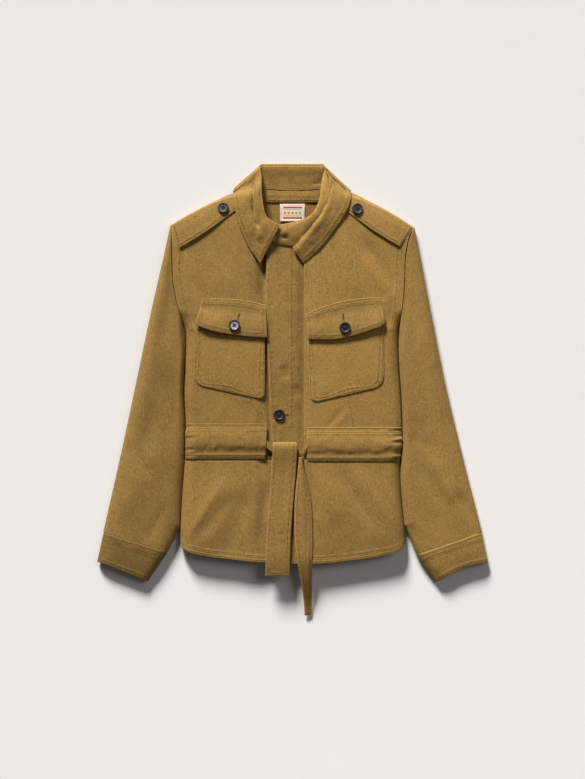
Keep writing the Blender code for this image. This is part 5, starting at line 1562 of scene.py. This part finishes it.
def cloth_look(name, painted_light_factor=1.0, turn=0.0):
    """Olive-brown twill: slubs along the warp, fainter ones across, broad mottling, paler rims, the cloth drawn in and
    puckered along its stitched lines with painted shade along them, and a factor that paints the light and shade its
    piece catches."""
    made, tree, shader = node_tree(name)
    place = tree.nodes.new("ShaderNodeTexCoord").outputs["Object"]
    mapping = tree.nodes.new("ShaderNodeMapping")
    mapping.inputs["Rotation"].default_value = (0, 0, math.radians(turn))
    tree.links.new(place, mapping.inputs["Vector"])
    along = mapping.outputs["Vector"]
    slubs = noise_node(tree, along, (680, 150, 200), 3.0, 0.6)
    weft = noise_node(tree, along, (95, 640, 200), 3.0, 0.6)
    grain = noise_node(tree, along, (700, 560, 400), 2.0, 0.5)
    mottle = noise_node(tree, along, (46, 20, 20), 2.0, 0.5)
    mixed = math_node(tree, "MULTIPLY", slubs, 0.4)
    mixed = math_node(tree, "ADD", mixed, math_node(tree, "MULTIPLY", weft, 0.2))
    mixed = math_node(tree, "ADD", mixed, math_node(tree, "MULTIPLY", grain, 0.3))
    mixed = math_node(tree, "ADD", mixed, math_node(tree, "MULTIPLY", mottle, 0.1))
    # Painted light and shade: the factor lightens or deepens this copy of the cloth for how its piece faces the light.
    base = np.array(CLOTH_COLOUR) * painted_light_factor
    stops = [(0.36, base * (0.6, 0.58, 0.54)), (0.5, base), (0.64, base * (1.38, 1.4, 1.5))]
    colour = ramp_node(tree, mixed, [(p, tuple(c)) for p, c in stops])
    sewn = near_line(tree, 0, SEWN_REACH)
    drawn = near_line(tree, 0, PUCKER_REACH)
    for number in range(1, SEWN_LINES):
        sewn = math_node(tree, "MAXIMUM", sewn, near_line(tree, number, SEWN_REACH))
        drawn = math_node(tree, "MAXIMUM", drawn, near_line(tree, number, PUCKER_REACH))
    # Painted shade: the colour is deepened along each row of stitches, where the drawn-in seam falls into shade.
    shade = math_node(tree, "SUBTRACT", 1.0, math_node(tree, "MULTIPLY", sewn, SEWN_PAINTED_SHADE))
    seam_shaded = tree.nodes.new("ShaderNodeVectorMath")
    seam_shaded.operation = "SCALE"
    tree.links.new(colour, seam_shaded.inputs[0])
    tree.links.new(shade, seam_shaded.inputs["Scale"])
    # Each piece's rims are paler, by an amount that follows the slubs.
    pale_rim = tree.nodes.new("ShaderNodeAttribute")
    pale_rim.attribute_name = "pale_rim_edge"
    rim_paling = math_node(tree, "MULTIPLY", pale_rim.outputs["Fac"], math_node(tree, "MULTIPLY", slubs, 0.55))
    mix = tree.nodes.new("ShaderNodeMix")
    mix.data_type = "RGBA"
    colours = [socket for socket in mix.inputs if socket.type == "RGBA"]
    tree.links.new(rim_paling, mix.inputs["Factor"])
    tree.links.new(seam_shaded.outputs["Vector"], colours[0])
    colours[1].default_value = (*(np.minimum(base * (1.75, 1.8, 2.0), 1)), 1)
    mixed_colour = [socket for socket in mix.outputs if socket.type == "RGBA"][0]
    tree.links.new(mixed_colour, shader.inputs["Base Color"])
    twill = tree.nodes.new("ShaderNodeTexWave")
    twill.wave_type = "BANDS"
    twill.bands_direction = "DIAGONAL"
    twill.inputs["Scale"].default_value = 330.0
    twill.inputs["Distortion"].default_value = 1.2
    twill.inputs["Detail"].default_value = 1.0
    tree.links.new(along, twill.inputs["Vector"])
    height = math_node(tree, "MULTIPLY", slubs, 1.1)
    height = math_node(tree, "ADD", height, math_node(tree, "MULTIPLY", twill.outputs["Fac"], 0.3))
    height = math_node(tree, "ADD", height, math_node(tree, "MULTIPLY", weft, 0.8))
    weave = tree.nodes.new("ShaderNodeBump")
    weave.inputs["Strength"].default_value = 0.42
    weave.inputs["Distance"].default_value = 0.0005
    tree.links.new(height, weave.inputs["Height"])
    rumples = noise_node(tree, place, (150, 150, 150), 2.0, 0.5)
    rumpled = math_node(tree, "MULTIPLY", rumples, math_node(tree, "MULTIPLY", drawn, 1.6))
    dip = math_node(tree, "SUBTRACT", rumpled, math_node(tree, "MULTIPLY", sewn, 0.5))
    seams = tree.nodes.new("ShaderNodeBump")
    seams.inputs["Strength"].default_value = 1.0
    seams.inputs["Distance"].default_value = 0.0007
    tree.links.new(dip, seams.inputs["Height"])
    tree.links.new(weave.outputs["Normal"], seams.inputs["Normal"])
    tree.links.new(seams.outputs["Normal"], shader.inputs["Normal"])
    rough = math_node(tree, "ADD", math_node(tree, "MULTIPLY", slubs, 0.12), 0.82)
    tree.links.new(rough, shader.inputs["Roughness"])
    shader.inputs["Specular IOR Level"].default_value = 0.25
    shader.inputs["Sheen Weight"].default_value = 0.1
    shader.inputs["Sheen Roughness"].default_value = 0.45
    shader.inputs["Sheen Tint"].default_value = (0.95, 0.8, 0.55, 1)
    return made


def plain_look(name, colour, roughness, scale=400.0, vary=0.15, coat=0.0, depth=0.0001):
    """A finish with a fine uneven grain in its colour and its relief."""
    made, tree, shader = node_tree(name)
    place = tree.nodes.new("ShaderNodeTexCoord").outputs["Object"]
    grain = noise_node(tree, place, (scale, scale, scale))
    base = np.array(colour)
    stops = [(0.3, tuple(base * (1 - vary))), (0.7, tuple(np.minimum(base * (1 + vary), 1)))]
    tree.links.new(ramp_node(tree, grain, stops), shader.inputs["Base Color"])
    rough = math_node(tree, "ADD", math_node(tree, "MULTIPLY", grain, 0.1), roughness - 0.05)
    tree.links.new(rough, shader.inputs["Roughness"])
    bump = tree.nodes.new("ShaderNodeBump")
    bump.inputs["Strength"].default_value = 0.3
    bump.inputs["Distance"].default_value = depth
    tree.links.new(grain, bump.inputs["Height"])
    tree.links.new(bump.outputs["Normal"], shader.inputs["Normal"])
    shader.inputs["Coat Weight"].default_value = coat
    shader.inputs["Coat Roughness"].default_value = 0.2
    return made


# Sewing


def template_stitch():
    """One stitch of unit length and unit radius, diving into the cloth at both ends."""
    points = [(-0.5, 0, -1.1)]
    for place, size, drop in ((-0.34, 0.9, -0.25), (0.0, 1.0, 0.0), (0.34, 0.9, -0.25)):
        for spin in np.arange(6) * math.pi / 3:
            points.append((place, size * math.cos(spin), size * math.sin(spin) + drop))
    points.append((0.5, 0, -1.1))
    faces = []
    for step in range(6):
        after = (step + 1) % 6
        faces.append((0, 1 + after, 1 + step))
        for ring in (1, 7):
            faces.append((ring + step, ring + after, ring + 6 + after, ring + 6 + step))
        faces.append((13 + step, 13 + after, 19))
    return np.array(points), faces


STITCH_POINTS, STITCH_FACES = template_stitch()


def at_arc(line, values, marks):
    arc = np.concatenate([[0], np.cumsum(np.linalg.norm(np.diff(line, axis=0), axis=1))])
    return np.column_stack([np.interp(marks, arc, values[:, i]) for i in range(values.shape[1])]), arc[-1]


def stitches_on(line, normals, pitch=STITCH_PITCH, length=STITCH_LENGTH):
    """Rows of (middle, direction, normal, length) along a line on the cloth."""
    long = np.linalg.norm(np.diff(line, axis=0), axis=1).sum()
    marks = np.arange(pitch / 2, long - pitch / 2, pitch)
    if len(marks) < 1:
        return []
    middle, _ = at_arc(line, line, marks)
    before, _ = at_arc(line, line, marks - length / 2)
    after, _ = at_arc(line, line, marks + length / 2)
    normal, _ = at_arc(line, normals, marks)
    return [(m, a - b, n, length) for m, a, b, n in zip(middle, after, before, normal)]


def sew(name, rows, look, radius=STITCH_RADIUS):
    """Stitches as one piece."""
    points, faces = [], []
    for middle, way, normal, length in rows:
        way = way / max(np.linalg.norm(way), 1e-9)
        normal = normal - way * (normal @ way)
        normal = normal / max(np.linalg.norm(normal), 1e-9)
        turn = np.array([way * length, np.cross(normal, way) * radius, normal * radius])
        first = len(points) * len(STITCH_POINTS)
        points.append(middle + STITCH_POINTS @ turn)
        faces += [tuple(first + i for i in face) for face in STITCH_FACES]
    made = new_object(name, np.concatenate(points), faces, look)
    return made


def inset(node, edge, distance, trim=(0.0, 0.0), keep=None):
    """A line on a piece a set distance along the cloth inside one of its edges, with its normals."""
    grid, normal = SURFACES[node]["grid"], SURFACES[node]["normal"]
    if "column" in edge:
        grid, normal = np.swapaxes(grid, 0, 1), np.swapaxes(normal, 0, 1)
    if "last" in edge:
        grid, normal = grid[::-1], normal[::-1]
    arc = np.cumsum(np.linalg.norm(np.diff(grid, axis=0), axis=-1), axis=0)
    arc = np.concatenate([np.zeros((1, grid.shape[1])), arc])
    line, normals = [], []
    for column in range(grid.shape[1]):
        spot = [np.interp(distance, arc[:, column], grid[:, column, i]) for i in range(3)]
        way = [np.interp(distance, arc[:, column], normal[:, column, i]) for i in range(3)]
        if keep is None or keep(*spot):
            line.append(spot)
            normals.append(way)
    line, normals = np.array(line), np.array(normals)
    long = np.linalg.norm(np.diff(line, axis=0), axis=1).sum()
    marks = np.arange(trim[0], long - trim[1], 1.0)
    return at_arc(line, line, marks)[0], at_arc(line, normals, marks)[0]


def dropped(node, path, step=1.0):
    """A line on a piece straight below a path in plan, with its normals."""
    surface = SURFACES[node]
    if "tree" not in surface:
        mesh = surface["object"].data
        corners = [v.co for v in mesh.vertices]
        surface["tree"] = BVHTree.FromPolygons(corners, [p.vertices for p in mesh.polygons])
    path = np.asarray(path, float)
    arc = np.concatenate([[0], np.cumsum(np.linalg.norm(np.diff(path, axis=0), axis=1))])
    line, normals = [], []
    for mark in np.arange(0, arc[-1] + 1e-6, step):
        x, y = (np.interp(mark, arc, path[:, i]) for i in range(2))
        start = Vector(placed((x, y, 200.0)).tolist())
        hit, way, _, _ = surface["tree"].ray_cast(start, Vector((0, 0, -1)))
        if hit is None:
            continue
        line.append((x, y, hit.z / MM))
        normals.append(tuple(way if way.z > 0 else -way))
    return np.array(line), np.array(normals)


def buttonhole(node, centre, turn, length=13.0):
    """Rows of (stitches, slit) of a buttonhole: close stitches across both lips, and the slit, a near-black line of
    painted shade.
    """
    way = np.array([math.cos(math.radians(turn)), math.sin(math.radians(turn))])
    side = np.array([-way[1], way[0]])
    centre = np.array(centre)
    rows = []
    for offset in (-1.15, 1.15):
        ends = [centre + side * offset - way * length / 2, centre + side * offset + way * length / 2]
        line, normals = dropped(node, ends, 0.75)
        across = np.array([*side, 0.0])
        rows += [(p + 0.1 * n, across, n, 1.7) for p, n in zip(line, normals)]
    for end in (-1, 1):
        line, normals = dropped(node, [centre + way * end * (length / 2 + 0.5) - side, centre + way * end * (length / 2 + 0.5) + side], 0.6)
        across = np.array([*way, 0.0])
        rows += [(p + 0.1 * n, across, n, 1.4) for p, n in zip(line, normals)]
    line, normals = dropped(node, [centre - way, centre + way])
    slit = [(line[len(line) // 2] + 0.15 * normals[0], np.array([*way, 0.0]), normals[0], length)]
    return rows, slit


# Buttons


HOLE_OFFSET = 2.7
HOLE_RADIUS = 1.15
#     how far the picture shows a button lower than its solid
BUTTON_DROP = {"button_strap_right": 5.6, "button_strap_left": 4.6}


def button_profile():
    """Half section of a button as (radius, height): flat back, round edge, raised rim, level sunken face."""
    rim = [(0.0, 0.0), (0.86, 0.0), (0.93, 0.06), (0.985, 0.2), (1.0, 0.38), (0.995, 0.6), (0.97, 0.82)]
    rim += [(0.93, 0.95), (0.87, 1.0), (0.81, 0.99), (0.76, 0.92), (0.72, 0.8), (0.68, 0.7), (0.63, 0.66)]
    rim += [(0.4, 0.65), (0.2, 0.65), (0.0, 0.65)]
    return [(BUTTON_RADIUS * s, BUTTON_HEIGHT * h) for s, h in rim]


def lathe(profile, sides):
    points, faces = [], []
    for radius, height in profile:
        for spin in np.arange(sides) * 2 * math.pi / sides:
            points.append((radius * math.cos(spin), radius * math.sin(spin), height))
    for level in range(len(profile) - 1):
        for step in range(sides):
            a, b = level * sides + step, level * sides + (step + 1) % sides
            faces.append((a, b, b + sides, a + sides))
    return np.array(points), faces


def button(name, x, y, lift, horn, face, thread):
    """Four-hole button with its cut holes and the thread through them."""
    points, faces = lathe(button_profile(), 48)
    mesh = bpy.data.meshes.new("blank_" + name)
    mesh.from_pydata((points * MM).tolist(), [], faces)
    made = bpy.data.objects.new("fine_" + name, mesh)
    merged = made.modifiers.new("merged", "WELD")
    merged.merge_threshold = 0.00001
    holes, quads = [], []
    for turn in range(4):
        angle = math.pi / 4 + turn * math.pi / 2
        spot = np.array([HOLE_OFFSET * math.cos(angle), HOLE_OFFSET * math.sin(angle), 0])
        ring, walls = lathe([(HOLE_RADIUS, -1.0), (HOLE_RADIUS, BUTTON_HEIGHT + 1.0)], 20)
        first = len(holes)
        holes += ((ring + spot) * MM).tolist()
        quads += [tuple(first + i for i in face) for face in walls]
        quads.append(tuple(first + i for i in range(20))[::-1])
        quads.append(tuple(first + 20 + i for i in range(20)))
    tool_mesh = bpy.data.meshes.new("holes_" + name)
    tool_mesh.from_pydata(holes, [], quads)
    tool = bpy.data.objects.new("holes_" + name, tool_mesh)
    scene = bpy.context.scene.collection.objects
    scene.link(made)
    scene.link(tool)
    cut = made.modifiers.new("holes", "BOOLEAN")
    cut.object = tool
    cut.operation = "DIFFERENCE"
    cut.solver = "EXACT"
    finished = bpy.data.meshes.new_from_object(made.evaluated_get(bpy.context.evaluated_depsgraph_get()))
    made.modifiers.clear()
    made.data = finished
    bpy.data.objects.remove(tool)
    finished.shade_smooth()
    finished.set_sharp_from_angle(angle=math.radians(40))
    finished.materials.clear()
    finished.materials.append(horn)
    finished.materials.append(face)
    # The sunken face takes the second material; on the right pocket's button that is a painted reflection.
    for polygon in finished.polygons:
        middle = polygon.center / MM
        if middle.z > 0.6 * BUTTON_HEIGHT and 1.9 < math.hypot(middle.x, middle.y) < 0.7 * BUTTON_RADIUS:
            polygon.material_index = 1
    y = y - BUTTON_DROP.get(name, 0.0)
    base = on_front(x, y, 0.0)
    tilt = on_front(x, y, 1.0) - base
    spot = base + tilt * lift + np.array([0, 0, float(front_detail(np.float64(x), np.float64(y)))])
    turn = Vector(tilt).to_track_quat("Z", "Y")
    made.data.transform(turn.to_matrix().to_4x4())
    made.location = placed(spot).tolist()
    bpy.context.view_layer.update()
    made.data.transform(made.matrix_world)
    made.location = (0, 0, 0)
    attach(made, "root")
    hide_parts(name)
    side = np.cross(tilt, (1.0, 0, 0))
    side /= np.linalg.norm(side)
    ahead = np.cross(side, tilt)
    top = spot + tilt * BUTTON_HEIGHT * 0.72
    rows = []
    for way, across in ((ahead + side, ahead - side), (ahead - side, ahead + side)):
        for offset in (-0.28, 0.28):
            rows.append((top + across * offset, way, tilt, 2 * HOLE_OFFSET + 0.8))
    sew("thread_" + name, rows, thread, radius=0.42)


# Label


def on_label(u, v, lift):
    """Points on the label, u and v from 0 to 1 across it and up it."""
    grid, normal = SURFACES["neck_label"]["grid"], SURFACES["neck_label"]["normal"]
    row, column = v * (grid.shape[0] - 1), u * (grid.shape[1] - 1)
    r, c = np.clip(row.astype(int), 0, grid.shape[0] - 2), np.clip(column.astype(int), 0, grid.shape[1] - 2)
    s, t = (column - c)[..., None], (row - r)[..., None]
    low = grid[r, c] * (1 - s) + grid[r, c + 1] * s
    high = grid[r + 1, c] * (1 - s) + grid[r + 1, c + 1] * s
    return low * (1 - t) + high * t + normal[r, c] * lift


def label_shapes(name, shapes, look):
    """Woven shapes on the label, each from four (u, v) corners, raised by a thread's height."""
    points, faces = [], []
    for corners in shapes:
        corners = np.array(corners, float)
        s, t = np.meshgrid(np.linspace(0, 1, 13), np.linspace(0, 1, 5))
        s, t = s[..., None], t[..., None]
        plan = (corners[0] * (1 - s) + corners[1] * s) * (1 - t) + (corners[3] * (1 - s) + corners[2] * s) * t
        for lift in (0.16, -0.1):
            points.append(on_label(plan[..., 0], plan[..., 1], lift).reshape(-1, 3))
        first = (len(points) - 2) * 65
        index = first + np.arange(65).reshape(5, 13)
        quads = np.stack([index[:-1, :-1], index[:-1, 1:], index[1:, 1:], index[1:, :-1]], -1).reshape(-1, 4)
        faces += quads.tolist() + (quads[:, ::-1] + 65).tolist()
        loop = index[0].tolist() + index[1:, -1].tolist() + index[-1, :-1][::-1].tolist() + index[1:-1, 0][::-1].tolist()
        for a, b in zip(loop, loop[1:] + loop[:1]):
            faces.append((a, a + 65, b + 65, b))
    made = new_object(name, np.concatenate(points), faces, look)
    return made


def band(u0, v0, u1, v1):
    return [(u0, v0), (u1, v0), (u1, v1), (u0, v1)]


def diamond(u, v, wide, tall):
    return [(u - wide, v), (u, v - tall), (u + wide, v), (u, v + tall)]


def label_design(red, pink, ochre):
    """A plain woven design: a thin frame, two red bars with a pink line inside each, and a row of lozenges."""
    frame_lines = [band(0.045, 0.06, 0.955, 0.095), band(0.045, 0.905, 0.955, 0.94)]
    frame_lines += [band(0.045, 0.095, 0.07, 0.905), band(0.93, 0.095, 0.955, 0.905)]
    frame_lines += [band(0.16, 0.325, 0.84, 0.355), band(0.16, 0.645, 0.84, 0.675)]
    label_shapes("label_frame", frame_lines, pink)
    bars = [band(0.14, 0.72, 0.86, 0.82), band(0.14, 0.18, 0.86, 0.28)]
    label_shapes("label_bars", bars, red)
    label_shapes("label_lozenges", [diamond(u, 0.5, 0.06, 0.1) for u in np.linspace(0.22, 0.78, 5)], ochre)


# Sewing of the whole jacket


def all_stitches(thread, dark_thread_and_shade):
    rows = {}

    def add(name, line_and_normals, **sizes):
        rows.setdefault(name, []).extend(stitches_on(*line_and_normals, **sizes))

    for side in ("right", "left"):
        front, peplum, sign = f"front_{side}", f"peplum_{side}", signed(side)
        y = np.arange(UNDERARM_Y + 6, 572, 2.0)
        x = sign * (body_edge(y, side) - ARMHOLE_TOPSTITCH)
        add("stitches_front", dropped(front, np.column_stack([x, y])))
        add("stitches_hem", inset(peplum, "first row", HEM_DEPTH, (9, 3)))
        add("stitches_hem", inset(peplum, "first row", 2.2, (9, 3)))
        for depth in (5.5, 11.5):
            top_only = inset(f"cuff_{side}", "first row", depth, keep=lambda a, b, c: c > FOLD_Z + 1.0)
            add("stitches_cuff", top_only)
        mouth = inset(f"cuff_{side}", "last row", 4.0, keep=lambda a, b, c: c > FOLD_Z + 1.0)
        add("stitches_cuff", mouth)
        add("stitches_pocket", inset(f"pocket_{side}", "first row", 2.0))
        add("stitches_pocket", inset(f"pocket_{side}", "first row", 8.5))
        flap = f"flap_{side}"
        for edge, depth in (("first row", 2.0), ("first row", 7.5), ("last row", 5.5)):
            add("stitches_flap", inset(flap, edge, depth, (2, 2)))
        add("stitches_flap", inset(flap, "first column", 5.5, (6, 5)))
        add("stitches_flap", inset(flap, "last column", 5.5, (6, 5)))
        strap = f"strap_{side}"
        for edge in ("first column", "last column"):
            add("stitches_strap", inset(strap, edge, 4.0, (4, 4)))
        # Strap-end stitches are thick and near-black: partly thread, partly painted shadow under the strap's end, which
        # the left strap's close pitch draws as a near-continuous line.
        pitch = 5.0 if side == "right" else 3.6
        add("stitches_strap_end", inset(strap, "first row", 2.0, (3, 3)), pitch=pitch, length=3.4)
        casing_node = f"casing_{side}"
        for depth in (1.8, 8.8):
            add("stitches_waist", inset(casing_node, "last row", depth, (4, 1)))
        add("stitches_waist", inset(casing_node, "first row", 2.4, (4, 1)))
    add("stitches_placket", inset("placket", "first column", 4.5, (4, 4)))
    add("stitches_placket", dropped("placket", [(-1.0, 242), (-1.0, 470), (-3.0, 545)]))
    add("stitches_leaf", inset("collar_leaf", "last column", 5.0, (5, 5), keep=lambda a, b, c: c > 9))
    add("stitches_leaf", inset("collar_leaf", "first row", 5.0, (6, 5)))
    add("stitches_leaf", inset("collar_leaf", "last row", 5.0, (6, 5)))
    add("stitches_stand", inset("collar_stand", "last column", 3.0, (5, 5)))
    add("stitches_facing", inset("neck_facing", "first row", 2.5, (2, 2)))
    for node in ("belt_wide", "belt_narrow"):
        for edge in ("first column", "last column"):
            add("stitches_belt", inset(node, edge, 4.5, (14 if node == "belt_wide" else 40, 5)))
        add("stitches_belt", inset(node, "last row", 4.5, (5, 5)))
    for edge, trim in (("first column", (2, 2)), ("last column", (2, 2)), ("last row", (2, 2))):
        add("stitches_label", inset("neck_label", edge, 1.4, trim), pitch=2.2, length=1.6)
    holes = [("flap_right", (-94.5, 429.5), 72), ("flap_left", (88.8, 428.0), 92), ("placket", (-13.5, 258.6), 0)]
    slits = []
    for node, centre, turn in holes:
        around, slit = buttonhole(node, centre, turn)
        rows.setdefault("stitches_buttonholes", []).extend(around)
        slits += slit
    for name, made in rows.items():
        if name == "stitches_strap_end":
            sew(name, made, dark_thread_and_shade, radius=0.75)
        else:
            sew(name, made, thread)
    # The slits are near-black capsules: painted shade in the cuts.
    sew("buttonhole_slits", slits, dark_thread_and_shade, radius=0.45)


# Camera, light and floor


PICTURE_POINT = 1.75
PICTURE = (585, 779)
CAMERA_LENS = 200.0
CAMERA_SENSOR = 36.0
CAMERA_LEVEL = 12.0


def camera():
    data = bpy.data.cameras.new("camera")
    data.lens = CAMERA_LENS
    data.sensor_width = CAMERA_SENSOR
    made = bpy.data.objects.new("camera", data)
    bpy.context.scene.collection.objects.link(made)
    tall = PICTURE[1] * PICTURE_POINT * MM
    made.location = (0, 0.0004, CAMERA_LEVEL * MM + tall * CAMERA_LENS / CAMERA_SENSOR)
    data.clip_end = 100.0
    bpy.context.scene.camera = made


def sun(name, strength, elevation, spread_angle, turn):
    """Soft light from beyond the collar, at an elevation over the surface, turned about the vertical."""
    data = bpy.data.lights.new(name, "SUN")
    data.energy = strength
    data.angle = math.radians(spread_angle)
    data.color = (1.0, 0.985, 0.965)
    made = bpy.data.objects.new(name, data)
    made.rotation_euler = (math.radians(elevation - 90), 0, math.radians(turn))
    bpy.context.scene.collection.objects.link(made)


def light_and_floor():
    sun("key", 6.75, 23.5, 15, 17)
    sun("side", 0.42, 48, 30, -60)
    world = bpy.data.worlds.new("studio")
    bpy.context.scene.world = world
    world.use_nodes = True
    back = world.node_tree.nodes["Background"]
    back.inputs["Color"].default_value = (0.96, 0.98, 1.0, 1)
    back.inputs["Strength"].default_value = 0.06
    rings, faces = lathe([(0.001, 0.0), (9.0, 0.0), (14.0, 0.45), (20.0, 1.3), (30.0, 3.1), (36.0, 4.4)], 64)
    mesh = bpy.data.meshes.new("floor")
    mesh.from_pydata(rings.tolist(), [], faces + [tuple(range(64))])
    mesh.shade_smooth()
    floor = bpy.data.objects.new("floor", mesh)
    floor.location = (0, 0, -0.0003)
    paper = plain_look("paper", (0.82, 0.80, 0.785), 0.9, scale=6.0, vary=0.008)
    paper.node_tree.nodes["Principled BSDF"].inputs["Specular IOR Level"].default_value = 0.1
    mesh.materials.append(paper)
    bpy.context.scene.collection.objects.link(floor)
    bpy.context.scene.view_settings.view_transform = "Standard"


def main():
    # Each piece gets its own copy of the cloth look, lightened or deepened by a factor that paints the light and shade
    # it catches: the right cuff, right sleeve, right strap, flaps and skirt are painted in shade, and the left front,
    # stand and pockets are painted lighter.
    body = cloth_look("cloth_body", 0.98)
    fronts = {"right": cloth_look("cloth_front_right", 0.965), "left": cloth_look("cloth_front_left", 1.1)}
    stand = cloth_look("cloth_stand", 1.12)
    cuffs = {"right": cloth_look("cloth_cuff_right", 0.63, -13), "left": cloth_look("cloth_cuff_left", 1.05, 13)}
    placket_look = cloth_look("cloth_placket", 0.96)
    skirt = cloth_look("cloth_skirt", 0.93)
    inner = cloth_look("cloth_inner", 0.97)
    sleeves = {"right": cloth_look("cloth_sleeve_right", 0.86, -13), "left": cloth_look("cloth_sleeve_left", 1.0, 13)}
    straps = {"right": cloth_look("cloth_strap_right", 0.87, 60), "left": cloth_look("cloth_strap_left", 1.0, -60)}
    pockets = {"right": cloth_look("cloth_pocket_right", 1.05), "left": cloth_look("cloth_pocket_left", 1.19)}
    flap_look = cloth_look("cloth_flap", 0.9)
    tunnels = {"right": cloth_look("cloth_casing_right", 0.9), "left": cloth_look("cloth_casing_left", 1.0)}
    leaf = cloth_look("cloth_collar", 0.97)
    horn = plain_look("horn", (0.015, 0.012, 0.0115), 0.55, scale=420.0, vary=0.7, coat=0.05)
    # Painted reflection: a pale glossy grey face stands in for the glare that the right pocket's button catches.
    painted_glare_horn = plain_look("horn_painted_glare", (0.36, 0.36, 0.37), 0.35, scale=420.0, vary=0.2, coat=0.4)
    thread = plain_look("thread", (0.19, 0.11, 0.03), 0.8, scale=2500.0, vary=0.25)
    navy = plain_look("button_thread", (0.008, 0.007, 0.01), 0.7, scale=2500.0, vary=0.3)
    # Near-black for the buttonhole slits and strap ends: painted shade, and on the strap ends also the stitches' own
    # thread.
    slit = plain_look("buttonhole_slit", (0.02, 0.013, 0.006), 0.9, scale=2000.0, vary=0.2)
    cream = plain_look("label_ground", (0.83, 0.74, 0.62), 0.75, scale=1800.0, vary=0.08)
    red = plain_look("label_red", (0.56, 0.09, 0.07), 0.7, scale=1800.0, vary=0.2)
    pink = plain_look("label_pink", (0.72, 0.36, 0.3), 0.7, scale=1800.0, vary=0.15)
    ochre = plain_look("label_ochre", (0.6, 0.42, 0.06), 0.7, scale=1800.0, vary=0.2)
    camera()
    light_and_floor()
    back_bodice(inner)
    back_peplum(skirt)
    for side in ("right", "left"):
        front_bodice(side, fronts[side])
        peplum_front(side, skirt)
        sleeve(side, sleeves[side])
        cuff(side, cuffs[side])
        patch_pocket(side, pockets[side])
        pocket_flap(side, flap_look)
        shoulder_strap(side, straps[side])
        casing(side, tunnels[side])
    placket(placket_look)
    collar_stand(stand)
    collar_leaf(leaf)
    neck_facing(inner)
    neck_label(cream)
    belt_wide(body)
    belt_narrow(body)
    for node, rows in BELT_BUNCHES.items():
        belt_bunch(node, rows, body)
    label_design(red, pink, ochre)
    all_stitches(thread, slit)
    for name, x, y, lift in BUTTONS:
        button(name, x, y, lift, horn, painted_glare_horn if name == "button_pocket_right" else horn, navy)


main()
